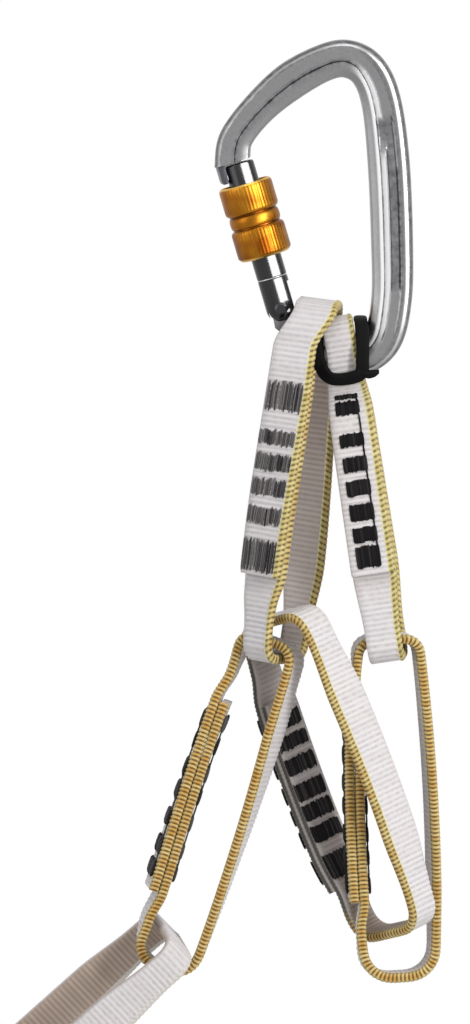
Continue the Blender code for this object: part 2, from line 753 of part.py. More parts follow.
def tack_spots(loop, route):
    """Each bar tack's start and end along the tape."""
    spots = []
    for down, size in loop.tacks:
        run = route.run_at_depth(down)
        spots.append((run, run + size))
    return spots


def post_spans(loop, route):
    """Where thread goes through the lap: one place under the middle of each bar."""
    spans = []
    for low, high in tack_spots(loop, route):
        middle = (low + high) / 2
        spans.append((middle - TACK_POST / 2, middle + TACK_POST / 2))
    return spans


def make_loop(loop):
    """A loop of tape, lapped over itself and sewn, and the thread that holds the lap."""
    route = Route(loop)
    start = route.run_at_depth(loop.lap_start)
    end = route.run_at_depth(loop.lap_end)
    white = finish("white_webbing", 0.80, 0.78, 0.77, 0.0, 0.85)
    tape = add_object(loop.name + "_webbing", tape_mesh(route, start, end), white, smooth=50.0)
    holes = bmesh.new()
    for low, high in post_spans(loop, route):
        reach = LAP_HALF + 1 * MM
        half = TACK_POST / 2 + FIT
        curved_block(holes, route, (low - FIT, high + FIT), (-reach, reach), (-half, half))
    combine(tape, add_object(loop.name + "_thread_holes", holes), "DIFFERENCE")
    make_stitching(loop, route)
    return tape


def make_stitching(loop, route):
    """Bars on both faces of the lap, joined through it, with a rail of thread along their edge."""
    dark = finish("dark_thread", 0.045, 0.045, 0.05, 0.0, 0.7)
    spots = tack_spots(loop, route)
    inner = LAP_HALF + FIT
    outer = inner + TACK_THICKNESS
    half = loop.tack_width / 2
    rail = bmesh.new()
    rail_span = (spots[0][0] + 0.4 * MM, spots[-1][1] - 0.4 * MM)
    rail_heights = (inner + 0.1 * MM, outer - 0.1 * MM)
    curved_block(rail, route, rail_span, rail_heights, (half - RAIL_WIDTH - 0.2 * MM, half - 0.2 * MM), 8)
    stitching = add_object(loop.name + "_stitching", rail, dark)
    faces = bmesh.new()
    posts = bmesh.new()
    for low, high in spots:
        curved_block(faces, route, (low, high), (inner, outer), (-half, half))
        curved_block(faces, route, (low, high), (-outer, -inner), (-half, half))
    for low, high in post_spans(loop, route):
        reach = inner + TACK_THICKNESS / 2
        curved_block(posts, route, (low, high), (-reach, reach), (-TACK_POST / 2, TACK_POST / 2))
    combine(stitching, add_object(loop.name + "_bar_shapes", faces), "UNION")
    combine(stitching, add_object(loop.name + "_post_shapes", posts), "UNION")
    return stitching


def make_keeper():
    """The keeper's band, swept round its closed middle line."""
    rubber = finish("black_rubber", 0.012, 0.012, 0.013, 0.0, 0.55)
    front = [Vector(p) * MM for p in KEEPER_FRONT]
    back = [Vector((p.x, -p.y, p.z)) for p in reversed(front)]
    path = [Vector(KEEPER_TOP_RIGHT) * MM, *front, Vector(KEEPER_TOP_LEFT) * MM, *back]
    count = len(path)
    curve = []
    for i in range(count):
        a, b, c, d = (path[(i + k) % count] for k in (-1, 0, 1, 2))
        for step in range(KEEPER_STEPS):
            t = step / KEEPER_STEPS
            square = t * t * (2 * a - 5 * b + 4 * c - d)
            cube = t**3 * (3 * (b - c) + d - a)
            curve.append(0.5 * (2 * b + t * (c - a) + square + cube))
    bm = bmesh.new()
    rings = []
    for i, point in enumerate(curve):
        run = (curve[(i + 1) % len(curve)] - curve[i - 1]).normalized()
        out = point - KEEPER_MIDDLE
        out.x = 0.0
        out = (out - run * out.dot(run)).normalized()
        side = run.cross(out)
        thick = out * KEEPER_THICK / 2 / math.cos(math.pi / KEEPER_SIDES)
        wide = side * KEEPER_WIDE / 2 / math.cos(math.pi / KEEPER_SIDES)
        angles = [math.tau * (step + 0.5) / KEEPER_SIDES for step in range(KEEPER_SIDES)]
        rings.append(ring_of(bm, [point + thick * math.cos(a) + wide * math.sin(a) for a in angles]))
    skin(bm, rings, closed=True)
    return add_object("strap_keeper", bm, rubber, smooth=60.0)


def build():
    clear_scene()
    gate_frame = bpy.data.objects.new("gate_frame", None)
    gate_frame.location = GATE_PIVOT
    gate_frame.rotation_euler = (0.0, -GATE_LEAN, 0.0)
    bpy.context.collection.objects.link(gate_frame)
    make_carabiner(gate_frame)
    make_gate(gate_frame)
    make_rivet(gate_frame)
    make_plunger(gate_frame)
    make_spring(gate_frame)
    make_stop_ring(gate_frame)
    make_sleeve(gate_frame)
    make_keeper()
    for loop in LOOPS:
        make_loop(loop)


build()
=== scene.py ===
"""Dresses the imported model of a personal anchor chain: a screw-lock carabiner and six sewn loops."""

import math
import random

import bmesh
import bpy
from bpy.props import FloatProperty, FloatVectorProperty, IntProperty, PointerProperty
from mathutils import Matrix, Vector


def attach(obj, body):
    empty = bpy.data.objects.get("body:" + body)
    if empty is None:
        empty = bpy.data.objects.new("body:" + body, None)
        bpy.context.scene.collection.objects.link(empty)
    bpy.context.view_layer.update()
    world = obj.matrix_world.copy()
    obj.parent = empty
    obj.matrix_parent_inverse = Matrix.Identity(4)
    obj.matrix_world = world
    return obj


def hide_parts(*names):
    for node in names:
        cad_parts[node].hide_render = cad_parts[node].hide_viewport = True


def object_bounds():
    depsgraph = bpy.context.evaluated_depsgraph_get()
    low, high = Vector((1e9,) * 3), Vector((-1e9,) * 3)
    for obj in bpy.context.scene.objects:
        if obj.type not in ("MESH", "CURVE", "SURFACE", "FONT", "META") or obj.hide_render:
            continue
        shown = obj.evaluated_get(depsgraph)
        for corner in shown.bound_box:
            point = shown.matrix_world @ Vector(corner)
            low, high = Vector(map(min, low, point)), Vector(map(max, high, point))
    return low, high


bl_info = {
    "name": "Personal Anchor Chain",
    "version": (1, 0, 0),
    "blender": (4, 5, 0),
    "location": "View3D > Sidebar > Anchor Chain",
    "description": "Builds the looks of a screw-lock carabiner with a chain of sewn webbing loops",
    "category": "Object",
}

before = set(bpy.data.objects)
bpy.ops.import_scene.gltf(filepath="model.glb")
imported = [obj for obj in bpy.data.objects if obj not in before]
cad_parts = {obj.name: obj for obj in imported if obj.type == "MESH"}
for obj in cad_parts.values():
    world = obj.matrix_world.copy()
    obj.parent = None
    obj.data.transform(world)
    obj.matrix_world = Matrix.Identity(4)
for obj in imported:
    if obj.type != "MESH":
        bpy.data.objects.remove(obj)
CAD_BOX = [list(corner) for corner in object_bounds()]

MM = 0.001
PHOTO_SCALE = 3.45  # photograph pixels to a millimetre
PHOTO_ORIGIN = (345, 80)  # the row frame's origin in the photograph
PHOTO_SIZE = (470, 1024)

# The gate's frame: z runs from its rivet up to the nose, x towards the spine.
GATE_PIVOT = Vector((-18.55, 0.0, -66.4)) * MM
GATE_LEAN = math.radians(16.4)
GATE_FRAME = Matrix.Translation(GATE_PIVOT) @ Matrix.Rotation(-GATE_LEAN, 4, "Y")
BARREL_RADIUS = 4.4 * MM
BARREL_TOP = 43.8 * MM
RING_MIDDLE = 9.2 * MM
SLEEVE_LOW = 15.7 * MM

# How the tape lies in its loops, as the solids have it.
LAP_GAP = 0.3 * MM  # between the two layers of a lap
LAP_EASE = 9.0 * MM  # over which the tape comes back to the line after a lap
PINCH_DEPTH = 21.0 * MM  # below the crest, where the keeper draws the end loop's legs in
PINCH_SPREAD = 5.0 * MM
GATHER_FULL = 8.0 * MM  # from an end, within which the tape is drawn narrower
GATHER_FADE = 20.0 * MM
LEAN_START = 5.0 * MM  # out from the loop's middle, where a leg's lean begins
LEAN_DEPTH = 12.0 * MM
LAP_SIDE = 3.0 * MM  # out from the loop's middle, where the leg with the lap begins
LAP_FADE = 5.0 * MM
END_STEPS = 5
CORNER_STEPS = 12
LEG_STEPS = 64
SMOOTHINGS = 3
AXIS_STEP = 0.1 * MM

# What a loop has where it says nothing else. Lengths are in millimetres and angles in degrees.
USUAL = dict(
    corner_top=4.5, corner_foot=4.5,  # radius of the corners at each end
    gather_top=0.12, gather_foot=0.12,  # how much narrower the tape is drawn at each end
    pinch=0.0,  # how far the keeper draws the legs in
    lean=0.0,  # how far the leg with the lap leans towards the gate at its top
    twist=1.0,  # below 1 the edge turns nearer the crest from one direction to the other
    lap_turn=0.0,  # how far the leg with the lap is turned about its own line
    lead=4.0, tail=4.0,  # tape before the first bar tack and after the last
    tack_shift=0.0,  # how far the bar tacks lie towards the coloured edge
    joined=True,  # whether a strand runs on from one bar tack to the next
    proud=0.0,  # how much higher than usual the bar tacks stand
    stitch=1.0,  # length of the edge's stitches over the usual one
    soil=0.0,  # how grey the outer face is
    bare=0.0, plain_edge=0.0,  # how tape-coloured the edge is, on the leg with the lap and all round
)


def loop(**own):
    """A loop's own values over the usual ones."""
    return {**USUAL, **own}


def even_tacks(first, pitch, count, size):
    """Bars of one size at an even pitch down a leg, as (distance below the crest, bar length)."""
    return [(first + pitch * i, size) for i in range(count)]


# Each loop: its body, the middles of its ends, the way its coloured edge faces at each end, half the
# distance between its legs at each end and how much wider they stand halfway, its bar tacks and
# their width, how frayed its thread is, how much brown painted shade its inner face has at the crest,
# the middle and the foot, and how orange its edge is.
LOOPS = {
    "shortening_loop": loop(
        body="shortening", crest=(-7.5, 0, -65.4), foot=(-20.3, 0, -167.9),
        gold_top=(0.96, -0.08, -0.24), gold_foot=(0.85, -0.53, 0),
        half_top=15.2, half_foot=9.8, bow=0.2,
        corner_top=8.0, gather_top=0.04, gather_foot=0.3, lean=4.8,
        tacks=[(21.5, 7.5), (36, 3.6), (42.8, 4.3), (50.5, 4.4), (58, 4.4), (68.7, 8.4)],
        tack_width=10.6, tack_shift=-0.9, joined=False, tail=1.8,
        frayed=1.0, taupe=(0.9, 0.6, 0.45), soil=0.35, warm=0.25,
    ),
    "end_loop": loop(
        body="end", crest=(-2.3, 0, -70.2), foot=(12.75, 0, -167.6),
        gold_top=(0.91, 0, -0.41), gold_foot=(0.99, -0.08, 0),
        half_top=8.5, half_foot=8.9, bow=-1.2,
        corner_top=6.0, pinch=2.9, gather_top=0.3, gather_foot=0.2,
        tacks=[
            (20.9, 1.3), (23.4, 3.8), (31.1, 3.6), (37.8, 4.1), (44.8, 4.3), (51.7, 4.6), (58.9, 4.1),
            (64.6, 6),
        ],
        tack_width=6.9, tack_shift=-0.8, lead=3.0, tail=2.4,
        frayed=0.0, taupe=(0.25, 0.2, 0.2), warm=0.05,
    ),
    "second_loop": loop(
        body="second", crest=(12.2, 0, -162.6), foot=(15.8, 0, -261.2),
        gold_top=(0.12, -0.99, 0), gold_foot=(0.17, -0.98, 0),
        half_top=8.6, half_foot=10.1, bow=1.8,
        corner_foot=8.0, gather_foot=0.3, lap_turn=7.0,
        tacks=even_tacks(24, 7.3, 7, 4.0), tack_width=9.0, proud=0.3,
        frayed=0.4, taupe=(0.35, 0.35, 0.35), warm=0.8, stitch=0.75,
    ),
    "third_loop": loop(
        body="third", crest=(-18.9, 0.5, -156.7), foot=(15.4, 0, -247.5),
        gold_top=(-0.72, -0.638, -0.268), gold_foot=(-0.68, -0.69, -0.25),
        half_top=13.6, half_foot=12.4, bow=3.5,
        corner_top=6.0, corner_foot=6.6, gather_top=0.24, gather_foot=0.25,
        tacks=[(27, 4.2), (33.6, 3.8), (39.8, 4.6), (47, 4.8), (54.2, 4.4), (61.2, 4.6), (70, 7)],
        tack_width=11.4, tack_shift=0.7, joined=False,
        frayed=0.3, taupe=(0.5, 0.1, 0.9), warm=0.6, stitch=0.8, bare=1.0,
    ),
    "fifth_loop": loop(
        body="fifth", crest=(-20.9, -1.2, -163.4), foot=(-52.75, 0, -258.6),
        gold_top=(-0.45, -0.89, 0), gold_foot=(-0.08, -1.0, 0),
        half_top=8.45, half_foot=8.6, bow=1.0,
        corner_foot=7.0, gather_top=0.3, gather_foot=0.32, twist=0.8, lap_turn=-15.0,
        tacks=even_tacks(24, 7.8, 7, 4.2), tack_width=9.0, proud=0.4,
        frayed=0.6, taupe=(0.3, 0.3, 0.3), warm=1.0, stitch=0.75,
    ),
    "harness_loop": loop(
        body="harness", crest=(-50.2, 0, -250.2), foot=(-165.0, 0, -352.0),
        gold_top=(0.62, 0.35, -0.705), gold_foot=(0.62, 0.35, -0.705),
        half_top=12.6, half_foot=9.5, bow=0.9,
        corner_top=5.0, corner_foot=8.0, gather_top=0.22,
        tacks=even_tacks(78, 7.3, 7, 4.0), tack_width=9.0,
        frayed=0.4, taupe=(0.9, 0.9, 0.9), soil=0.15, warm=0.6, plain_edge=1.0,
    ),
}


def length_setting(name, description, millimetres):
    """A length that a user may change."""
    return FloatProperty(name=name, description=description, default=millimetres * MM, unit="LENGTH")


def colour_setting(name, description, default):
    """A colour that a user may change."""
    return FloatVectorProperty(name=name, description=description, default=default, subtype="COLOR")


class TapeSettings(bpy.types.PropertyGroup):
    width: length_setting("Width", "Width of the tape", 13.0)
    thickness: length_setting("Thickness", "Thickness of the tape", 2.6)
    rib_pitch: length_setting("Rib Pitch", "From one cross rib to the next", 1.5)
    rib_height: length_setting("Rib Height", "Height of a cross rib", 0.24)
    edge_width: length_setting("Edge Width", "Width of the coloured edge", 2.9)
    bead_pitch: length_setting("Bead Pitch", "From one stitch of the edge to the next", 1.6)
    white: colour_setting("White", "Colour of the tape", (0.75, 0.735, 0.735))
    # The groove colour is painted shade between the ribs.
    groove: colour_setting("Groove", "Colour between the ribs", (0.42, 0.39, 0.39))
    gold: colour_setting("Gold", "Colour of the edge", (0.46, 0.38, 0.12))


class ThreadSettings(bpy.types.PropertyGroup):
    strand: length_setting("Strand", "Width of a strand of thread", 0.55)
    colour: colour_setting("Colour", "Colour of the thread", (0.008, 0.007, 0.008))


class MetalSettings(bpy.types.PropertyGroup):
    flutes: IntProperty(name="Flutes", description="Flutes round the sleeve", default=48, min=8)
    flute_depth: length_setting("Flute Depth", "Depth of a flute", 0.06)
    bow: colour_setting("Bow", "Colour of the bow", (0.31, 0.31, 0.315))
    gate: colour_setting("Gate", "Colour of the gate", (0.006, 0.006, 0.007))
    sleeve: colour_setting("Sleeve", "Colour of the sleeve", (0.41, 0.165, 0.014))


class ChainSettings(bpy.types.PropertyGroup):
    tape: PointerProperty(type=TapeSettings)
    thread: PointerProperty(type=ThreadSettings)
    metal: PointerProperty(type=MetalSettings)


class Wire:
    """A node's socket that takes part in Python expressions."""

    def __init__(self, nodes, socket):
        self.nodes = nodes
        self.socket = socket

    def maths(self, operation, *values):
        return self.nodes.node("ShaderNodeMath", {"operation": operation}, dict(enumerate(values)))

    def __add__(self, other):
        return self.maths("ADD", self, other)

    def __sub__(self, other):
        return self.maths("SUBTRACT", self, other)

    def __rsub__(self, other):
        return self.maths("SUBTRACT", other, self)

    def __mul__(self, other):
        return self.maths("MULTIPLY", self, other)

    __radd__ = __add__
    __rmul__ = __mul__

    def clamped(self):
        """The value held between nothing and one."""
        return self.maths("MINIMUM", self.maths("MAXIMUM", self, 0.0), 1.0)


class Nodes:
    """A node tree, made one expression at a time."""

    def __init__(self, tree):
        self.tree = tree

    def join(self, value, socket):
        if isinstance(value, Wire):
            self.tree.links.new(value.socket, socket)
        elif socket.type == "RGBA" and len(value) == 3:
            socket.default_value = (*value, 1.0)
        else:
            socket.default_value = value

    def node(self, kind, settings, values, output=0):
        """One node: its settings first, then the values or links of its sockets."""
        made = self.tree.nodes.new(kind)
        for key, value in settings.items():
            setattr(made, key, value)
        for key, value in values.items():
            self.join(value, made.inputs[key])
        return Wire(self, made.outputs[output])

    def seen(self):
        """One to the camera, to reflections and through glass, and nothing to the bounced light."""
        path = self.tree.nodes.new("ShaderNodeLightPath")
        camera, glossy, through = (
            Wire(self, path.outputs[f"Is {kind} Ray"]) for kind in ("Camera", "Glossy", "Transmission")
        )
        return (camera + glossy + through).clamped()


class Graph(Nodes):
    """A material and its shader."""

    def __init__(self, name, **constants):
        self.material = bpy.data.materials.new(name)
        self.material.use_nodes = True
        super().__init__(self.material.node_tree)
        self.shader = self.tree.nodes["Principled BSDF"]
        for socket, value in constants.items():
            self.set(socket.replace("_", " ").title().replace("Ior", "IOR"), value)

    def set(self, socket, value):
        """Links or writes one socket of the shader."""
        self.join(value, self.shader.inputs[socket])

    def attribute(self, name):
        return self.node("ShaderNodeAttribute", {"attribute_name": name}, {}, "Fac")

    def mix(self, share, one, other):
        settings = {"data_type": "RGBA", "blend_type": "MIX"}
        return self.node("ShaderNodeMix", settings, {0: share, 6: one, 7: other}, 2)

    def noise(self, scale, detail=2.0):
        """Noise in object space, in turns to a metre."""
        space = self.node("ShaderNodeTexCoord", {}, {}, "Object")
        return self.node("ShaderNodeTexNoise", {}, {"Vector": space, "Scale": scale, "Detail": detail})

    def finish(self, colour, rough=None, bump=None):
        """Sets the colour, what varies its roughness, and a bump of (height, millimetres, strength)."""
        self.set("Base Color", colour)
        if rough:
            self.set("Roughness", rough)
        if bump:
            height, deep, strength = bump
            values = {"Height": height, "Distance": deep * MM, "Strength": strength}
            self.set("Normal", self.node("ShaderNodeBump", {}, values))
        return self.material


# Colours that the finishes vary towards, beside those that the settings hold.
# The brown painted shade on the tape's inner face, between its ribs and on them.
INNER_SHADE_GROOVE = (0.27, 0.195, 0.145)
INNER_SHADE_RIB = (0.47, 0.37, 0.30)
LILAC_TAPE = (0.60, 0.56, 0.66)
CREAM_TAPE = (0.76, 0.69, 0.58)
GREY_WEAVE = (0.45, 0.42, 0.42)
# The tone that a loop's whole outer face is greyed towards.
OUTER_GREY = (0.45, 0.43, 0.44)
ORANGE_YARN = (0.50, 0.275, 0.03)
ORANGE_SIDE = (0.52, 0.25, 0.022)
STRAW_YARN = (0.78, 0.70, 0.34)
PALE_YARN = (0.86, 0.80, 0.50)
# Painted shade in the dips between the edge's stitches, on olive and on orange yarn.
OLIVE_DIP_SHADE = (0.10, 0.066, 0.004)
BROWN_DIP_SHADE = (0.12, 0.06, 0.003)
PLAIN_EDGE = (0.58, 0.54, 0.51)
# Painted shade on the outer side of an edge of plain tape colour.
PLAIN_SIDE_SHADE = (0.07, 0.065, 0.055)
BLOTCHED_BOW = (0.22, 0.22, 0.225)
MOTTLED_BOW = (0.13, 0.13, 0.135)
# Painted highlight on the bow's lands.
LAND_HIGHLIGHT = (0.93, 0.93, 0.94)
# Painted shade in the bow's creases, along its panel and on its lip.
CREASE_SHADE = (0.035, 0.035, 0.04)
WORN_GATE = (0.02, 0.02, 0.023)
PALE_ORANGE = (0.56, 0.27, 0.028)
BURNT_ORANGE = (0.19, 0.05, 0.004)
# Painted highlight on the sleeve's bevelled rims.
RIM_HIGHLIGHT = (0.88, 0.58, 0.14)
# Painted shade in the sleeve's flutes, grooves and bore.
SLEEVE_CREASE_SHADE = (0.10, 0.03, 0.004)
RUBBER = (0.003, 0.003, 0.003)
SCUFFED_RUBBER = (0.009, 0.0085, 0.009)
PAPER = (0.8, 0.8, 0.8)
WHITE = (1.0, 1.0, 1.0)
ROOM_LIGHT = 0.45  # strength of the world and share of the floor's colour for the bounced light
GREY_THREAD = (1.0, 0.93, 0.92)
# The bow's painted shade is mottled by noise where it is half dark.
CREASE_MOTTLE = 7.0  # how strongly the bow's half-dark places are mottled


def tape_material(settings):
    """White woven tape, with painted shade between its ribs and a brown painted shade on the side that
    faces into the loop.
    """
    graph = Graph("white_tape", roughness=0.82, specular_ior_level=0.25, sheen_weight=0.25)
    rib = graph.attribute("rib")
    weave = graph.noise(3600.0)
    patch = graph.noise(750.0)
    # Painted shade between the ribs, mottled by noise.
    groove = ((1.0 - rib) * (patch * 2.4 - 0.35)).clamped()
    outer = graph.mix(groove, tuple(settings.white), tuple(settings.groove))
    outer = graph.mix(graph.noise(170.0) * 0.4, outer, LILAC_TAPE)
    outer = graph.mix(graph.noise(60.0, 1.0) * 0.3, outer, CREAM_TAPE)
    outer = graph.mix(weave * 0.35, outer, GREY_WEAVE)
    outer = graph.mix(graph.attribute("soil"), outer, OUTER_GREY)
    # The inner face is painted with brown shade, darker between the ribs.
    inner = graph.mix(rib * (weave * 0.7 + 0.6), INNER_SHADE_GROOVE, INNER_SHADE_RIB)
    return graph.finish(graph.mix(graph.attribute("inside"), outer, inner), bump=(weave, 0.12, 0.8))


def edge_material(settings):
    """The edge's gold and olive yarn: pale borders, painted shade where a stitch dives, orange on its
    side, and a plain edge with painted shade on its side.
    """
    graph = Graph("gold_edge", roughness=0.6, specular_ior_level=0.35, sheen_weight=0.2)
    side = graph.attribute("side")
    warm = graph.attribute("warm")
    cloud = graph.noise(90.0, 1.0)
    fibre = graph.noise(4200.0, 1.0)
    yarn = graph.mix(warm * (cloud * 0.6 + 0.4), tuple(settings.gold), ORANGE_YARN)
    yarn = graph.mix(side * (warm * 0.6 + 0.3), yarn, ORANGE_SIDE)
    yarn = graph.mix(graph.attribute("shade") * (fibre * 0.5 + 0.2), yarn, STRAW_YARN)
    yarn = graph.mix(graph.attribute("pale") * (0.85 - warm * 0.2), yarn, PALE_YARN)
    # Painted shade in the dips between stitches.
    dip = graph.mix(warm, OLIVE_DIP_SHADE, BROWN_DIP_SHADE)
    gold = graph.mix(graph.attribute("crown") * 1.1 - 0.1, dip, yarn)
    # A plain edge, with painted shade on its outer side.
    plain = graph.mix(side, PLAIN_EDGE, PLAIN_SIDE_SHADE)
    return graph.finish(graph.mix(graph.attribute("bare"), gold, plain), bump=(fibre, 0.1, 0.7))


def thread_material(name, colour, grey):
    """Black thread. Worn bars have some strands faded to grey."""
    graph = Graph(name, roughness=0.7, specular_ior_level=0.08)
    fibre = graph.noise(5000.0, 1.0)
    faded = graph.mix(graph.attribute("shade") * (fibre * 0.8 + 0.6), colour, grey)
    return graph.finish(faded, bump=(fibre, 0.08, 0.6))


def bow_material(settings):
    """Satin aluminium, with painted shade in its creases, painted highlights on its lands, and its
    painted shade mottled in its panel.
    """
    graph = Graph("satin_aluminium", metallic=1.0)
    crease_shade = graph.attribute("crease_shade")
    grain = graph.noise(900.0, 3.0)
    worn = graph.noise(620.0, 3.0)
    # Noise mottles the painted shade where it is neither full nor none.
    crease_shade = crease_shade + (worn - 0.5) * crease_shade * (1.0 - crease_shade) * CREASE_MOTTLE
    face = graph.mix(graph.noise(120.0) * 0.5, tuple(settings.bow), BLOTCHED_BOW)
    face = graph.mix(graph.noise(1700.0) * 0.5, face, MOTTLED_BOW)
    # Painted highlight on the lands.
    face = graph.mix(graph.attribute("land_highlight"), face, LAND_HIGHLIGHT)
    return graph.finish(graph.mix(crease_shade, face, CREASE_SHADE), grain * 0.14 + 0.24, (grain, 0.02, 0.5))


def plain_metal(name, colour, rough, grain_scale=700.0):
    """A metal with a little unevenness in its polish."""
    graph = Graph(name, metallic=1.0)
    return graph.finish(colour, graph.noise(grain_scale) * 0.12 + rough)


def gate_material(settings):
    """Glossy black anodised aluminium."""
    graph = Graph("black_gate", specular_ior_level=0.4)
    wear = graph.noise(260.0, 3.0)
    return graph.finish(graph.mix(wear * 0.35, tuple(settings.gate), WORN_GATE), wear * 0.08 + 0.14)


def sleeve_material(settings):
    """Orange anodised aluminium, darker in patches, with painted shade in its flutes, grooves and bore,
    and painted highlights on its rims.
    """
    graph = Graph("orange_sleeve", metallic=1.0)
    wear = graph.noise(520.0, 3.0)
    patch = ((graph.noise(150.0, 1.0) - 0.32) * 2.6).clamped()
    face = graph.mix(wear * 0.6, tuple(settings.sleeve), PALE_ORANGE)
    face = graph.mix(patch, BURNT_ORANGE, face)
    # Painted highlight on the rims.
    face = graph.mix(graph.attribute("rim") * (wear * 0.6 + 0.5), face, RIM_HIGHLIGHT)
    # Painted shade in the flutes, grooves and bore.
    return graph.finish(graph.mix(graph.attribute("crease_shade"), face, SLEEVE_CREASE_SHADE), wear * 0.14 + 0.24)


def rubber_material():
    """Smooth black rubber, faintly scuffed."""
    graph = Graph("black_rubber_skin", specular_ior_level=0.07)
    scuff = graph.noise(700.0, 3.0)
    rubber = graph.mix(scuff * 0.5, RUBBER, SCUFFED_RUBBER)
    return graph.finish(rubber, scuff * 0.25 + 0.5, (scuff, 0.05, 0.4))


def paper_material():
    """White to the camera and in reflections, and grey to the light that bounces about."""
    graph = Graph("floor_paper")
    graph.tree.nodes.remove(graph.shader)
    matt = graph.node("ShaderNodeBsdfDiffuse", {}, {"Color": PAPER}, "BSDF")
    glow = graph.node("ShaderNodeEmission", {}, {"Color": WHITE, "Strength": 1.0}, "Emission")
    share = graph.seen() * (1.0 - ROOM_LIGHT)
    both = graph.node("ShaderNodeMixShader", {}, {0: share, 1: matt, 2: glow}, "Shader")
    graph.join(both, graph.tree.nodes["Material Output"].inputs["Surface"])
    return graph.material


def new_object(name, data):
    """An object in the scene's own collection."""
    made = bpy.data.objects.new(name, data)
    bpy.context.scene.collection.objects.link(made)
    return made


def new_mesh(name, bm):
    """A mesh from a bmesh, which is used up."""
    mesh = bpy.data.meshes.new(name)
    bm.to_mesh(mesh)
    bm.free()
    return mesh


def add_piece(name, bm, body, material, replaced=(), smooth=40.0):
    """Turns a bmesh into a piece of the object that moves with a body."""
    mesh = new_mesh(name, bm)
    mesh.materials.append(material)
    mesh.shade_smooth()
    mesh.set_sharp_from_angle(angle=math.radians(smooth))
    made = new_object(name, mesh)
    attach(made, body)
    if replaced:
        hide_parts(*replaced)
    return made


def cut_away(made, cutters, smooth):
    """Cuts shapes out of a piece and keeps the result as its mesh."""
    for bm in cutters:
        cutter = new_object("cutter", new_mesh("cutter", bm))
        modifier = made.modifiers.new("Cut", "BOOLEAN")
        modifier.operation = "DIFFERENCE"
        modifier.solver = "EXACT"
        modifier.object = cutter
        graph = bpy.context.evaluated_depsgraph_get()
        result = bpy.data.meshes.new_from_object(made.evaluated_get(graph))
        made.modifiers.clear()
        made.data = result
        bpy.data.objects.remove(cutter)
    made.data.set_sharp_from_angle(angle=math.radians(smooth))


def tube(bm, along, around, place, closed=False, values=None):
    """A tube from a grid that is rolled up: place(i, j) gives a point of ring i. values(i, j) gives
    numbers to keep on the points as named attributes."""
    for name in values(0, 0) if values else ():
        if name not in bm.verts.layers.float:
            bm.verts.layers.float.new(name)
    rows = bmesh.ops.create_grid(bm, x_segments=along, y_segments=around, size=1.0)["verts"]
    for vert in rows:
        i = round((vert.co.x + 1) / 2 * along)
        j = round((vert.co.y + 1) / 2 * around)
        vert.co = place(i, j % around)
        for name, value in (values(i, j % around) if values else {}).items():
            vert[bm.verts.layers.float[name]] = value
    bmesh.ops.remove_doubles(bm, verts=[v for v in rows if v.is_valid], dist=1e-7)
    if not closed:
        bmesh.ops.holes_fill(bm, edges=[e for e in bm.edges if e.is_boundary], sides=0)
    bmesh.ops.recalc_face_normals(bm, faces=bm.faces)


def smoothstep(t):
    """Nothing below nothing, one above one, and a smooth rise between."""
    t = min(max(t, 0.0), 1.0)
    return t * t * (3 - 2 * t)


def rise(value, start, over):
    """Nothing up to a start, one from some way beyond it, and a smooth rise between."""
    return smoothstep((value - start) / over)


def bell(value, middle, spread):
    """One at the middle, falling to nothing on both sides."""
    return math.exp(-(((value - middle) / spread) ** 2))


def between(rows, position):
    """A row of numbers at a position along a table, by Catmull-Rom."""
    last = len(rows) - 1
    i = min(int(position), last - 1)
    t = position - i
    a, b, c, d = (rows[min(max(i + k, 0), last)] for k in (-1, 0, 1, 2))
    return [
        q + 0.5 * t * (r - p + t * (2 * p - 5 * q + 4 * r - s + t * (3 * (q - r) + s - p)))
        for p, q, r, s in zip(a, b, c, d)
    ]


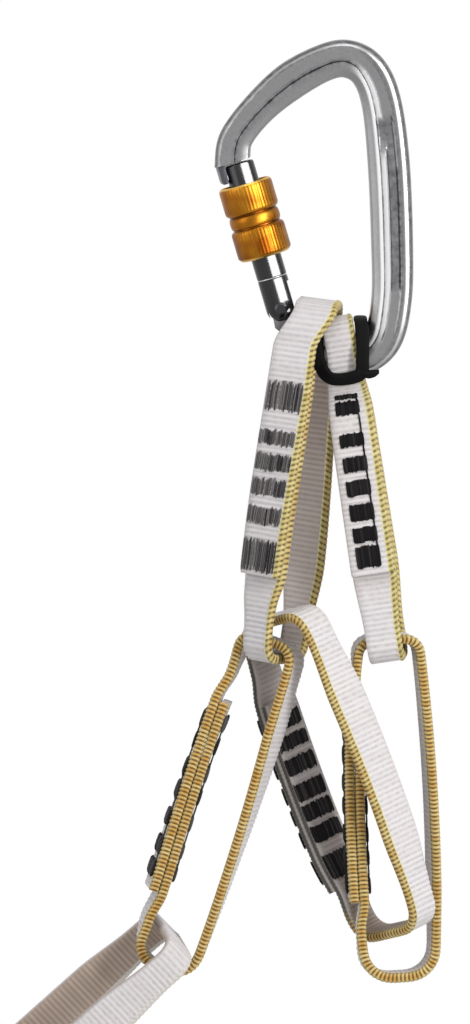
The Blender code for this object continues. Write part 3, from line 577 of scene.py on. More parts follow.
class Route:
    """A loop's middle line, measured along its length from the crest."""

    def __init__(self, spec, thickness):
        self.crest = Vector(spec["crest"]) * MM
        foot = Vector(spec["foot"]) * MM
        self.length = (foot - self.crest).length
        self.down = (foot - self.crest).normalized()
        self.gold = [Vector(spec["gold_top"]), Vector(spec["gold_foot"])]
        self.half = (spec["half_top"] * MM, spec["half_foot"] * MM, spec["bow"] * MM)
        self.corners = (spec["corner_top"] * MM, spec["corner_foot"] * MM)
        self.pinch = spec["pinch"] * MM
        self.lean = spec["lean"] * MM
        self.twist = spec["twist"]
        self.brown = spec["taupe"]
        self.lap_turn = math.radians(spec["lap_turn"])
        self.gather = (spec["gather_top"], spec["gather_foot"])
        self.points = self.outline()
        self.marks = [0.0]
        for a, b in zip(self.points, self.points[1:] + self.points[:1]):
            self.marks.append(self.marks[-1] + math.dist(a, b))
        self.total = self.marks[-1]
        self.tacks = [(self.depth_run(at * MM), size * MM) for at, size in spec["tacks"]]
        first, last = spec["tacks"][0], spec["tacks"][-1]
        self.start = self.depth_run((first[0] - spec["lead"]) * MM)
        self.end = self.depth_run((last[0] + last[1] + spec["tail"]) * MM)
        self.span = self.end + self.total - self.start
        self.offset = (thickness + LAP_GAP) / 2

    def distance(self, share):
        """The distance along the line at a share of the strip from its start to its end."""
        return self.start + self.span * share

    def leg_half(self, down):
        """Half the distance between the legs at a depth below the crest."""
        share = down / self.length
        top, foot, bow = self.half
        squeeze = self.pinch * bell(down, PINCH_DEPTH, PINCH_SPREAD)
        return top + (foot - top) * share + bow * 4 * share * (1 - share) - squeeze

    def outline(self):
        """The whole middle line as (down, out) points, smoothed a little."""
        top, foot = self.corners
        length = self.length
        top_half = self.leg_half(top)
        foot_half = self.leg_half(length - foot)
        quarter = [math.pi / 2 * i / CORNER_STEPS for i in range(CORNER_STEPS)]
        downs = [top + (length - top - foot) * i / LEG_STEPS for i in range(LEG_STEPS)]
        side = [(0.0, (top_half - top) * i / END_STEPS) for i in range(END_STEPS)]
        side += [(top - top * math.cos(a), top_half - top + top * math.sin(a)) for a in quarter]
        side += [(down, self.leg_half(down)) for down in downs]
        low, wide = length - foot, foot_half - foot
        side += [(low + foot * math.sin(a), wide + foot * math.cos(a)) for a in quarter]
        side += [(length, (foot_half - foot) * (1 - i / END_STEPS)) for i in range(END_STEPS)]
        points = side + [(length, 0.0)] + [(down, -out) for down, out in reversed(side[1:])]
        count = len(points)
        for _ in range(SMOOTHINGS):
            threes = [(points[i - 1], points[i], points[(i + 1) % count]) for i in range(count)]
            points = [tuple((a + 2 * b + c) / 4 for a, b, c in zip(*three)) for three in threes]
        return points

    def depth_run(self, down):
        """How far along the line the lap's leg reaches this distance below the crest."""
        for i in range(1, len(self.points)):
            if self.points[i][1] > self.half[0] / 2 and self.points[i][0] >= down:
                return self.marks[i]
        return self.total / 2

    def at(self, run):
        """The point and the outward normal at a distance along the line."""
        run = run % self.total
        low, high = 0, len(self.marks) - 1
        while high - low > 1:
            middle = (low + high) // 2
            if self.marks[middle] <= run:
                low = middle
            else:
                high = middle
        share = (run - self.marks[low]) / (self.marks[low + 1] - self.marks[low])
        count = len(self.points)
        a, b, c, d = (Vector(self.points[(low + k) % count]) for k in (-1, 0, 1, 2))
        along = (c - a).lerp(d - b, share).normalized()
        return b.lerp(c, share), Vector((-along.y, along.x))

    def place(self, run, height, across):
        """A point of space: along the line, out from it, and across the tape to its coloured edge."""
        point, normal = self.at(run)
        down, out = point + normal * height
        turn = self.lap_turn * self.near_lap(run)
        gold = self.gold[0].lerp(self.gold[1], smoothstep(max(down / self.length, 0.0) ** self.twist))
        gold = (gold - self.down * gold.dot(self.down)).normalized()
        near_crest = 1.0 - rise(down, GATHER_FULL, GATHER_FADE)
        near_foot = 1.0 - rise(self.length - down, GATHER_FULL, GATHER_FADE)
        across *= 1.0 - self.gather[0] * near_crest - self.gather[1] * near_foot
        beyond = (out - LEAN_START) / (self.leg_half(down) - LEAN_START)
        lean = self.lean * (1.0 - down / self.length) * smoothstep(beyond) * smoothstep(down / LEAN_DEPTH)
        side = self.down.cross(gold)
        turned = gold * math.cos(turn) + side * math.sin(turn)
        raised = self.down.cross(turned) * (out - point[1])
        flat = self.crest + self.down * down + side * point[1] + raised + turned * across
        return flat - Vector((lean, 0.0, 0.0))

    def lift(self, run):
        """How far the tape lies from the line: inside where the lap starts and outside where it ends."""
        if run <= self.end:
            return -self.offset
        if run <= self.end + LAP_EASE:
            return -self.offset * (1 - rise(run, self.end, LAP_EASE))
        back = self.start + self.total
        return self.offset * smoothstep((run - back + LAP_EASE) / LAP_EASE)

    def taupe(self, run):
        """How much brown painted shade the tape's inner face has at a distance along the line."""
        share = 2 * min(max(self.at(run)[0][0] / self.length, 0.0), 1.0)
        crest, middle, foot = self.brown
        return crest + (middle - crest) * share if share < 1 else middle + (foot - middle) * (share - 1)

    def near_lap(self, run):
        """One on the leg that has the lap, fading to nothing at the loop's ends."""
        down, out = self.at(run)[0]
        side = rise(out, LAP_SIDE, LAP_FADE)
        return side * smoothstep(down / LEAN_DEPTH) * smoothstep((self.length - down) / LEAN_DEPTH)

    def axes(self, run, height, across):
        """A matrix at a place on the tape: x along it, y across to its coloured edge, z out."""
        here = self.place(run, height, across)
        along = (self.place(run + AXIS_STEP, height, across) - here).normalized()
        side = (self.place(run, height, across + AXIS_STEP) - here).normalized()
        out = along.cross(side).normalized()
        if out.dot(self.place(run, height + AXIS_STEP, across) - here) < 0:
            out = -out
        turn = Matrix((along, out.cross(along), out)).transposed().to_4x4()
        return Matrix.Translation(here) @ turn


TAPE_SEED = 3
TAPE_CORNER = 0.45 * MM
CORNER_RIB = 0.35  # how much of a rib shows on the tape's plain side
TAPE_SHORT = 0.6  # share of the coloured edge's width that the tape leaves to it
FACE_STEPS = 6
RIB_STEPS = 6
RIB_FULLNESS = (0.6, 1.1)
RIB_FLOOR = 0.2
INNER_RIB = 0.3  # height of a rib on the inner face over that on the outer face


def tape_section(settings):
    """The tape's outline as (out, across, ribbed) once round, without its coloured edge."""
    half_t = settings.thickness / 2 - settings.rib_height / 2
    low = -settings.width / 2
    high = settings.width / 2 - settings.edge_width * TAPE_SHORT
    first = low + TAPE_CORNER
    face = [first + (high - first) * i / FACE_STEPS for i in range(FACE_STEPS + 1)]
    upper = [(half_t, a, 1.0) for a in face]
    lower = [(-half_t, a, 1.0) for a in reversed(face)]
    corner = half_t - TAPE_CORNER
    return upper + lower + [(-corner, low, CORNER_RIB), (corner, low, CORNER_RIB)]


class ANCHOR_OT_tape(bpy.types.Operator):
    """Builds the ribbed white tape of each loop"""

    bl_idname = "object.anchor_tape"
    bl_label = "Tape"

    def execute(self, context):
        settings = context.scene.anchor_chain.tape
        material = tape_material(settings)
        section = tape_section(settings)
        chance = random.Random(TAPE_SEED)
        for name, spec in LOOPS.items():
            route = Route(spec, settings.thickness)
            ribs = round(route.span / settings.rib_pitch)
            count = ribs * RIB_STEPS
            fullness = [chance.uniform(*RIB_FULLNESS) for _ in range(ribs + 1)]

            def ridge(i):
                return (0.5 - 0.5 * math.cos(math.tau * i / RIB_STEPS)) * fullness[i // RIB_STEPS]

            def place(i, j):
                run = route.distance(i / count)
                out, across, ribbed = section[j]
                raised = settings.rib_height * ridge(i) * ribbed * (1.0 if out > 0 else INNER_RIB)
                return route.place(run, route.lift(run) + out + math.copysign(raised, out), across)

            def values(i, j):
                out, _, ribbed = section[j]
                # The inner face takes the loop's brown painted shade, and the outer face its grey tone.
                inside = route.taupe(route.distance(i / count)) if out < 0 else 0.0
                soil = 0.0 if out < 0 else spec["soil"]
                return {"rib": ridge(i) * ribbed + RIB_FLOOR, "inside": inside, "soil": soil}

            bm = bmesh.new()
            tube(bm, count, len(section), place, values=values)
            replaced = (name + "_webbing",)
            add_piece(name + "_tape", bm, spec["body"], material, replaced, smooth=60)
        return {"FINISHED"}


EDGE_SEED = 11
STITCH_STEPS = 6
EDGE_AROUND = 18
STITCH_LEAN = 0.34  # how far a stitch runs ahead from one side of the edge to the other
EDGE_HALF = (0.50, 0.45)  # share of the tape's thickness and of the edge's width
EDGE_SWELL = (0.12, 0.02, 0.06)  # how far a stitch bulges: the outer face, the inner face, the side
# The dips between stitches, over the edge's face and its outer side, are painted shade.
DIP_SHARPNESS = 1.15
DIP_DEPTH = (1.5, 0.5)  # how dark it gets between two stitches, and how much darker on warm yarn
# Where round the edge its colours lie, in turns of -1 next to the tape to 1 on the outer side.
DIP_PLACE = (0.2, 0.45)  # the darkest place of a dip, and how far it spreads
DIP_SIDE = (0.8, 0.1)  # where a dip takes in the outer side, and how soon
SIDE_PLACE = (0.7, 0.2)  # where the side's colour starts, and how soon it is full
PALE_PLACE = (0.1, 0.3)  # the same for the pale border, but towards the tape
PALE_LINE = (0.62, 0.12)  # how far from the sides a second pale line lies, and its spread
PALE_LINE_SHARE = 0.6


class ANCHOR_OT_edge(bpy.types.Operator):
    """Builds the gold whipped edge of each loop's tape"""

    bl_idname = "object.anchor_edge"
    bl_label = "Coloured Edge"

    def execute(self, context):
        settings = context.scene.anchor_chain.tape
        material = edge_material(settings)
        middle = settings.width / 2 - settings.edge_width / 2
        chance = random.Random(EDGE_SEED)
        for name, spec in LOOPS.items():
            route = Route(spec, settings.thickness)
            stitches = round(route.span / (settings.bead_pitch * spec["stitch"]))
            count = stitches * STITCH_STEPS
            tones = [chance.uniform(0.0, 1.0) for _ in range(stitches + 2)]
            deep = DIP_DEPTH[0] + DIP_DEPTH[1] * spec["warm"]

            def phase(i, j):
                return i / STITCH_STEPS + STITCH_LEAN * math.sin(math.tau * j / EDGE_AROUND)

            def place(i, j):
                swell = abs(math.sin(math.pi * phase(i, j)))
                angle = math.tau * j / EDGE_AROUND
                run = route.distance(i / count)
                out = math.cos(angle) * settings.thickness
                out *= EDGE_HALF[0] + EDGE_SWELL[0 if out > 0 else 1] * swell
                wide = settings.edge_width * (EDGE_HALF[1] + EDGE_SWELL[2] * swell)
                return route.place(run, route.lift(run) + out, middle + math.sin(angle) * wide)

            def values(i, j):
                turn = math.sin(math.tau * j / EDGE_AROUND)
                ridge = abs(math.cos(math.tau * j / EDGE_AROUND))
                swell = abs(math.sin(math.pi * phase(i, j)))
                # How much painted shade a dip between two stitches holds here.
                centre = max(bell(turn, *DIP_PLACE), rise(turn, *DIP_SIDE))
                dip = deep * centre * max(1 - DIP_SHARPNESS * swell, 0.0)
                border = max(rise(-turn, *PALE_PLACE), PALE_LINE_SHARE * bell(ridge, *PALE_LINE))
                bare = spec["bare"] * route.near_lap(route.distance(i / count))
                return {
                    "bare": max(spec["plain_edge"], bare),
                    "crown": 1 - min(dip, 1.0),
                    "shade": tones[max(int(phase(i, j)), 0)],
                    "warm": spec["warm"],
                    "side": rise(turn, *SIDE_PLACE),
                    "pale": border,
                }

            bm = bmesh.new()
            tube(bm, count, EDGE_AROUND, place, values=values)
            add_piece(name + "_edge", bm, spec["body"], material, smooth=80)
        return {"FINISHED"}


THREAD_SEED = 5
STRAND_BLUNTNESS = 0.45
STRAND_LIFT = 0.12 * MM  # how far a strand's middle stands off the tape
# Each of these pairs is for whole thread, and how much it changes when the thread is frayed.
STRAND_WIDTH = (1.5, -0.4)  # of the pitch
FADE_POWER = (3, -2)  # the higher, the fewer strands are faded
THREAD_LIGHT = (1, 1.5)
THREAD_GREY = (0.03, 0.15)
BAR_OVER = 1.12  # a strand's length over that of its bar
BAR_TALL = 0.8 * MM
BAR_JITTER = 0.25 * MM
BAR_FRAY = 0.5 * MM  # how much longer a frayed strand can be
STRAND_DRIFT = 0.3  # of a strand's width
JOIN_OVER = 1.25  # length of the strand that joins two bars over the gap between them
JOIN_TALL = 0.6 * MM
JOIN_INSET = 0.4 * MM  # how far in from the bars' end it lies


def strand_shape():
    """A short length of thread along X, one metre long, wide and tall, with round ends."""
    bm = bmesh.new()
    shade = bm.verts.layers.float.new("shade")
    turn = Matrix.Rotation(math.pi / 2, 4, "Y")
    bmesh.ops.create_uvsphere(bm, u_segments=6, v_segments=6, radius=0.5, matrix=turn)
    for vert in bm.verts:
        vert.co.x = math.copysign(abs(vert.co.x * 2) ** STRAND_BLUNTNESS / 2, vert.co.x)
        vert[shade] = 0.0
    return new_mesh("strand", bm)


class ANCHOR_OT_stitching(bpy.types.Operator):
    """Builds the bar tacks of each loop, strand by strand"""

    bl_idname = "object.anchor_stitching"
    bl_label = "Bar Tacks"

    def execute(self, context):
        tape = context.scene.anchor_chain.tape
        settings = context.scene.anchor_chain.thread
        chance = random.Random(THREAD_SEED)
        shape = strand_shape()
        for name, spec in LOOPS.items():
            route = Route(spec, tape.thickness)
            frayed = spec["frayed"]
            light, grey, power, full = (
                whole + change * frayed
                for whole, change in (THREAD_LIGHT, THREAD_GREY, FADE_POWER, STRAND_WIDTH)
            )
            colour = tuple(c * light for c in settings.colour)
            faded = tuple(c * grey for c in GREY_THREAD)
            material = thread_material(name + "_thread", colour, faded)
            half = spec["tack_width"] * MM / 2
            strands = round(2 * half / settings.strand)
            shift = spec["tack_shift"] * MM
            proud = spec["proud"] * MM
            height = route.offset + tape.thickness / 2 + STRAND_LIFT + proud
            bm = bmesh.new()

            def strand(run, length, across, side, width, tall):
                spot = route.axes(run, side * height, across + shift)
                placed = spot @ Matrix.Diagonal((length, width, tall, 1.0))
                tone = chance.uniform(0.0, 1.0) ** power
                shape.attributes["shade"].data.foreach_set("value", [tone] * len(shape.vertices))
                shape.transform(placed)
                bm.from_mesh(shape)
                shape.transform(placed.inverted())

            for side in (1, -1):
                for run, size in route.tacks:
                    for k in range(strands):
                        across = -half + 2 * half * (k + 0.5) / strands
                        jitter = chance.uniform(-BAR_JITTER, BAR_JITTER) * (1 + frayed)
                        length = size * BAR_OVER + chance.uniform(0, BAR_FRAY) * frayed
                        across += chance.uniform(-STRAND_DRIFT, STRAND_DRIFT) * settings.strand * frayed
                        middle = run + size / 2 + jitter
                        strand(middle, length, across, side, settings.strand * full, BAR_TALL + proud)
                joined = zip(route.tacks, route.tacks[1:]) if spec["joined"] else ()
                for (run, size), (after, _) in joined:
                    middle = (run + size + after) / 2
                    length = (after - run - size) * JOIN_OVER
                    strand(middle, length, half - JOIN_INSET, side, settings.strand, JOIN_TALL)
            replaced = (name + "_stitching",)
            add_piece(name + "_thread", bm, spec["body"], material, replaced, smooth=80)
        bpy.data.meshes.remove(shape)
        return {"FINISHED"}


# The bow: X and Z of its middle line, half its width in the picture plane, half its depth, and how
# far its section has changed from the two panels of the upper arm to the channels of the spine.
BOW = [
    (-32.65, -24.2, 5.45, 4.6, 0.0),
    (-31.5, -17.2, 4.9, 4.5, 0.0),
    (-24.9, -8.6, 5.0, 4.6, 0.0),
    (-15.9, -0.8, 5.6, 4.8, 0.0),
    (-6.0, 4.6, 5.4, 5.0, 0.0),
    (0.8, 5.6, 5.5, 5.0, 0.15),
    (6.7, 2.0, 5.6, 5.0, 0.8),
    (10.4, -7.0, 5.8, 4.9, 1.0),
    (12.5, -24.0, 6.1, 4.8, 1.0),
    (13.5, -46.0, 6.1, 4.8, 1.0),
    (13.4, -64.0, 5.9, 4.9, 1.0),
    (10.4, -76.0, 5.7, 5.1, 0.6),
    (2.4, -81.2, 5.5, 5.2, 0.2),
    (-5.0, -79.0, 5.4, 5.2, 0.0),
    (-10.6, -75.4, 5.0, 5.0, 0.0),
    (-15.3, -71.6, 4.3, 4.4, 0.0),
]
BOW_STEPS = 12
BOW_REACH = 0.3  # rows to each side over which the bow's direction is taken
# Points of the front half of the section from the inner edge to the outer: (across, depth) in the
# upper arm, the same in the spine, and how dark its painted shade and how bright its painted highlight
# are there.
SECTION = [
    (-0.99, 0.30, -0.99, 0.30, 0.0, 0.0, 0.0),
    (-0.93, 0.60, -0.95, 0.60, 0.0, 0.0, 0.0),
    (-0.84, 0.78, -0.88, 0.78, 0.0, 0.0, 0.0),
    (-0.60, 0.87, -0.62, 0.96, 0.0, 0.0, 0.0),
    (-0.22, 0.94, -0.54, 0.99, 0.12, 0.0, 0.9),
    (-0.16, 0.93, -0.44, 0.98, 0.5, 0.0, 0.9),
    (-0.12, 0.90, -0.38, 0.84, 1.0, 0.6, 0.0),
    (-0.08, 0.95, -0.32, 0.82, 0.5, 0.0, 0.5),
    (-0.02, 0.97, -0.14, 0.84, 0.25, 0.0, 0.9),
    (0.12, 0.98, -0.08, 0.92, 0.0, 0.0, 0.2),
    (0.30, 0.99, -0.02, 0.92, 0.0, 0.0, 0.0),
    (0.44, 0.99, 0.30, 0.92, 0.0, 0.0, 0.0),
    (0.55, 0.99, 0.36, 0.92, 0.0, 1.0, 0.0),
    (0.64, 0.98, 0.44, 0.98, 0.0, 0.3, 0.0),
    (0.70, 0.96, 0.60, 0.99, 0.4, 0.0, 0.0),
    (0.75, 0.91, 0.68, 0.93, 0.1, 0.0, 0.7),
    (0.82, 0.84, 0.78, 0.88, 0.0, 0.0, 0.3),
    (0.89, 0.72, 0.87, 0.74, 0.7, 0.4, 0.0),
    (0.96, 0.47, 0.95, 0.50, 0.8, 0.8, 0.0),
]
# The section's two edges as (across, depth, painted shade, painted highlight).
INNER_EDGE = (-1.0, 0.0, 0.0, 0.0)
OUTER_EDGE = (1.0, 0.0, 0.15, 0.0)
PANEL_SPAN = (7.27, 9.85)  # rows of the bow between which the spine's panel is sunk
PANEL_END = 0.06  # rows that an end of the panel takes
PANEL_HEAD = 8.0  # up to this row the panel also takes in the channel beside it
HEAD_END = 0.3
LINE_START = 0.1
# The dark lines at the panel's top and along its outer wall are painted shadow.
TOP_LINE = 0.05  # rows from the panel's top to the dark line there
PANEL_POINTS = (10, 11)
HEAD_POINTS = (7, 8, 9, 10, 11)
LINE_POINT = 12  # the dark line along the panel's outer side
# From here outwards the arm takes some of the spine's painted highlight.
RIM_POINT = 15  # from here outwards the arm has some of the spine's bright line
RIM_SHARE = 0.35
PANEL_DEPTH = 0.12
# Painted shade on the sunk panel's floor.
PANEL_SHADE = 0.3


def bow_ring(position):
    """The section at a position along the bow: points as (across, depth, painted shade, painted
    highlight).
    """
    share = smoothstep(between(BOW, position)[4])
    top, foot = PANEL_SPAN
    end = smoothstep((foot - position) / PANEL_END)
    sunk = smoothstep((position - top) / PANEL_END) * end
    head = sunk * smoothstep((PANEL_HEAD - position) / HEAD_END)
    line = smoothstep((position - PANEL_HEAD) / LINE_START) * end
    floor = SECTION[PANEL_POINTS[0]][3] - PANEL_DEPTH
    front = []
    for index, (u, d, spine_u, spine_d, dark, spine_dark, bright) in enumerate(SECTION):
        depth = d + (spine_d - d) * share
        crease_shade = dark * (1 - share) + spine_dark * share
        if index in PANEL_POINTS:
            depth -= PANEL_DEPTH * sunk
            crease_shade = max(crease_shade, PANEL_SHADE * sunk)
        elif index in HEAD_POINTS:
            depth = min(depth, d + (floor - d) * head)
            crease_shade = max(crease_shade * (1 - head), PANEL_SHADE * head)
            bright *= 1 - head
        elif index == LINE_POINT:
            crease_shade = max(spine_dark * share * line, bell(position, top + TOP_LINE, PANEL_END))
        shown = share if index < RIM_POINT else max(share, RIM_SHARE)
        front.append((u + (spine_u - u) * share, depth, crease_shade, bright * shown))
    return [INNER_EDGE, *front, OUTER_EDGE] + [(u, -d, c, b) for u, d, c, b in reversed(front)]


def gate_point(radius, angle, height):
    """A point round the gate's axis, 0 being towards the spine."""
    return GATE_FRAME @ Vector((radius * math.cos(angle), radius * math.sin(angle), height))


def gate_spin(bm, profile, segments, flutes=0, depth=0.0, knurled=(), values=None):
    """Spins a closed outline of (radius, height) points about the gate's axis."""
    count = len(profile)

    def place(i, j):
        radius, height = profile[i % count]
        angle = math.tau * j / segments
        if i % count in knurled:
            radius -= depth * (0.5 - 0.5 * math.cos(angle * flutes))
        return gate_point(radius, angle, height)

    tube(bm, count, segments, place, closed=True, values=values)


def gate_box(bm, size, middle):
    """A box in the gate's frame, in millimetres."""
    sized = Matrix.Diagonal((*size, 1.0))
    placed = Matrix.Translation(middle)
    bmesh.ops.create_cube(bm, size=1.0, matrix=GATE_FRAME @ Matrix.Scale(MM, 4) @ placed @ sized)


# The key under the nose and the stem above it: left side, width, lowest and highest, the last two
# from the gate's top. Both reach to the same line on the right.
NOSE_BOXES = ((-3.2, 5.0, -3.6, -2.2), (-5.2, 2.8, -2.6, 1.6))
NOSE_RIGHT = 1.0


def nose_shapes(bm):
    """The key under the nose, which the gate's top slots over."""
    for left, width, low, high in NOSE_BOXES:
        middle = ((NOSE_RIGHT + left) / 2, 0, BARREL_TOP / MM + (high + low) / 2)
        gate_box(bm, (NOSE_RIGHT - left, width, high - low), middle)


# The lip's outline as (radius, height), in millimetres up the gate from its rivet.
LIP = [(4.8, 39.2), (5.1, 38.9), (5.92, 38.9), (6.52, 39.4), (6.72, 40.1), (6.72, 44.9), (4.8, 44.9)]
# The lip's points beside the gate, and its ends, take full painted shade; the rest a lighter painted
# shade.
LIP_HIDDEN = (0, 1, 6)
LIP_SHADE = 0.25
LIP_SPREAD = math.radians(29)
LIP_STEPS = 32


def lip_shape(bm):
    """The lip of the nose, a part ring outside the gate's top on the side away from the spine."""

    def place(i, j):
        radius, height = LIP[j % len(LIP)]
        angle = math.pi + LIP_SPREAD * (2 * i / LIP_STEPS - 1)
        return gate_point(radius * MM, angle, height * MM)

    def values(i, j):
        # Painted shade: full on the lip's inner face and ends, lighter elsewhere.
        hidden = j % len(LIP) in LIP_HIDDEN or i in (0, LIP_STEPS)
        return {"crease_shade": 1.0 if hidden else LIP_SHADE, "land_highlight": 0.0}

    tube(bm, LIP_STEPS, len(LIP), place, values=values)


TONGUE_ARC = range(-99, 84, 3)  # degrees round the rivet, 0 being up the gate
TONGUE_RADIUS = 3.6 * MM
TONGUE_GROWTH = 2.0 * MM  # a radian, between the next two angles
TONGUE_GROWS = (math.radians(-20), math.radians(50))
TONGUE_HALF = 2.0 * MM
TONGUE_ROOT = ((4.3, -3.5), (3.6, -8.0), (-0.4, -9.0), (-3.3, -5.0))


def tongue_shape(bm):
    """The flat tongue that the gate turns on."""
    outline = []
    for angle in map(math.radians, TONGUE_ARC):
        growing = 0.0 if angle > TONGUE_GROWS[1] else max(angle, TONGUE_GROWS[0])
        radius = TONGUE_RADIUS + TONGUE_GROWTH * growing
        outline.append((radius * math.sin(angle), radius * math.cos(angle)))
    outline += [(x * MM, z * MM) for x, z in TONGUE_ROOT]
    verts = [bm.verts.new(GATE_FRAME @ Vector((x, -TONGUE_HALF, z))) for x, z in outline]
    face = bm.faces.new(verts)
    grown = bmesh.ops.extrude_face_region(bm, geom=[face])["geom"]
    moved = [v for v in grown if isinstance(v, bmesh.types.BMVert)]
    bmesh.ops.translate(bm, verts=moved, vec=(0, 2 * TONGUE_HALF, 0))
    bmesh.ops.recalc_face_normals(bm, faces=bm.faces)


class ANCHOR_OT_bow(bpy.types.Operator):
    """Builds the forged bow with its nose and the tongue of its hinge"""

    bl_idname = "object.anchor_bow"
    bl_label = "Carabiner Bow"

    def execute(self, context):
        settings = context.scene.anchor_chain.metal
        count = (len(BOW) - 1) * BOW_STEPS
        rings = []
        for i in range(count + 1):
            position = i / BOW_STEPS
            x, z, half_width, half_depth, _ = between(BOW, position)
            before = between(BOW, max(position - BOW_REACH, 0.0))
            after = between(BOW, min(position + BOW_REACH, len(BOW) - 1))
            run = Vector((after[0] - before[0], 0.0, after[1] - before[1])).normalized()
            if i < BOW_STEPS:
                nose = Vector((-math.sin(GATE_LEAN), 0.0, math.cos(GATE_LEAN)))
                run = nose.lerp(run, smoothstep(i / BOW_STEPS)).normalized()
            outward = Vector((-run.z, 0.0, run.x))
            centre = Vector((x, 0.0, z)) * MM
            section = bow_ring(position)
            rings.append([
                (centre + outward * u * half_width * MM + Vector((0, -d * half_depth * MM, 0)), c, b)
                for u, d, c, b in section
            ])

        # The painted shade and painted highlight of each point.
        def values(i, j):
            return {"crease_shade": rings[i][j][1], "land_highlight": rings[i][j][2]}

        bm = bmesh.new()
        tube(bm, count, len(rings[0]), lambda i, j: rings[i][j][0], values=values)
        nose_shapes(bm)
        lip_shape(bm)
        tongue_shape(bm)
        material = bow_material(settings)
        replaced = ("carabiner_body",)
        add_piece("carabiner_bow", bm, "carabiner", material, replaced, smooth=28)
        return {"FINISHED"}


GATE_SEGMENTS = 96
GATE_BORE = 2.6
GATE_FOOT = -3.4
FOOT_ARC = range(35, 95, 5)  # degrees of the rounded foot, 0 being down the gate
# The gate's outline above its rounded foot as (radius, height), with the stop ring's groove.
GATE_OUTLINE = [
    (4.4, 8.8), (4.3, 8.9), (3.8, 8.9), (3.8, 9.5), (4.3, 9.5), (4.4, 9.6),
    (4.4, 43.1), (4.2, 43.6), (3.7, 43.8), (2.6, 43.8), (2.6, 43.4),
]
TONGUE_SLOT = ((12.8, 4.6, 16.2), (2.6, 0, -0.9))  # its size and its middle
KEY_SLOT = ((9, 3.6, 8), (-3, 0, BARREL_TOP / MM))


class ANCHOR_OT_gate(bpy.types.Operator):
    """Builds the black gate with its slots and its groove"""

    bl_idname = "object.anchor_gate"
    bl_label = "Gate"

    def execute(self, context):
        settings = context.scene.anchor_chain.metal
        angles = [math.radians(angle) for angle in FOOT_ARC]
        rounded = [(BARREL_RADIUS * math.sin(a), -BARREL_RADIUS * math.cos(a)) for a in angles]
        profile = [(GATE_BORE * MM, GATE_FOOT * MM), *rounded]
        profile += [(radius * MM, height * MM) for radius, height in GATE_OUTLINE]
        bm = bmesh.new()
        gate_spin(bm, profile, GATE_SEGMENTS)
        material = gate_material(settings)
        made = add_piece("gate_tube", bm, "gate", material, ("gate_barrel",), smooth=35)
        cutters = []
        for size, middle in (TONGUE_SLOT, KEY_SLOT):
            cutters.append(bmesh.new())
            gate_box(cutters[-1], size, middle)
        cut_away(made, cutters, smooth=35)
        return {"FINISHED"}


# The sleeve's outline once round as (radius, height above its foot, knurled), in millimetres.
SLEEVE = [
    (4.75, 0.3, 0), (5.05, 0.0, 0), (6.7, 0.0, 0), (7.1, 0.2, 0), (7.75, 0.9, 1), (7.9, 1.3, 1),
    (7.9, 4.5, 1), (7.9, 7.9, 1), (7.75, 8.5, 1), (7.3, 9.0, 0), (6.95, 9.15, 0), (6.9, 9.4, 0),
    (7.2, 9.7, 0), (7.4, 10.4, 0), (7.45, 11.2, 0), (7.4, 12.0, 0), (7.2, 12.7, 0), (6.9, 13.0, 0),
    (6.95, 13.3, 0), (7.3, 13.5, 0), (7.75, 14.0, 1), (7.9, 14.6, 1), (7.9, 17.6, 1), (7.9, 20.7, 1),
    (7.75, 21.3, 1), (7.35, 21.9, 0), (7.15, 22.0, 0), (6.95, 21.9, 0), (6.9, 21.7, 0),
    (6.9, 14.5, 0), (4.75, 14.5, 0),
]
# Points of the sleeve's outline in its grooves and bore that take painted shade, and how much.
SLEEVE_SHADE = {10: 0.8, 11: 0.5, 16: 0.4, 17: 1.0, 18: 0.8, 29: 1.0, 30: 1.0}
# Points of the sleeve's outline whose bevels take a painted highlight.
SLEEVE_RIMS = (2, 3, 25, 26)
FLUTE_STEPS = 6
# Painted shade in the knurl's flutes.
FLUTE_SHADE = 0.16
RING_STEPS = 16
RING_RADIUS = 4.08
RING_HALF = (0.3, 0.27)  # half the ring's width and half its height
RING_LOOK = ("bright_ring", (0.45, 0.45, 0.45), 0.22)  # name, colour and roughness


class ANCHOR_OT_sleeve(bpy.types.Operator):
    """Builds the knurled screw sleeve and the ring that stops it"""

    bl_idname = "object.anchor_sleeve"
    bl_label = "Screw Sleeve"

    def execute(self, context):
        settings = context.scene.anchor_chain.metal
        profile = [(radius * MM, SLEEVE_LOW + height * MM) for radius, height, _ in SLEEVE]
        knurled = [i for i, point in enumerate(SLEEVE) if point[2]]
        segments = settings.flutes * FLUTE_STEPS

        def values(i, j):
            place = i % len(SLEEVE)
            ridge = 0.5 - 0.5 * math.cos(math.tau * j / FLUTE_STEPS)
            crease_shade = FLUTE_SHADE * ridge if place in knurled else SLEEVE_SHADE.get(place, 0.0)
            return {"crease_shade": crease_shade, "rim": float(place in SLEEVE_RIMS)}

        bm = bmesh.new()
        gate_spin(bm, profile, segments, settings.flutes, settings.flute_depth, knurled, values)
        material = sleeve_material(settings)
        add_piece("knurled_sleeve", bm, "sleeve", material, ("screw_sleeve",), smooth=35)
        wire = []
        for step in range(RING_STEPS):
            angle = math.tau * step / RING_STEPS
            radius = (RING_RADIUS + RING_HALF[0] * math.cos(angle)) * MM
            wire.append((radius, RING_MIDDLE + RING_HALF[1] * math.sin(angle) * MM))
        bm = bmesh.new()
        gate_spin(bm, wire, GATE_SEGMENTS)
        material = plain_metal(*RING_LOOK)
        replaced = ("sleeve_stop_ring",)
        add_piece("snap_ring", bm, "stop_ring", material, replaced, smooth=60)
        return {"FINISHED"}


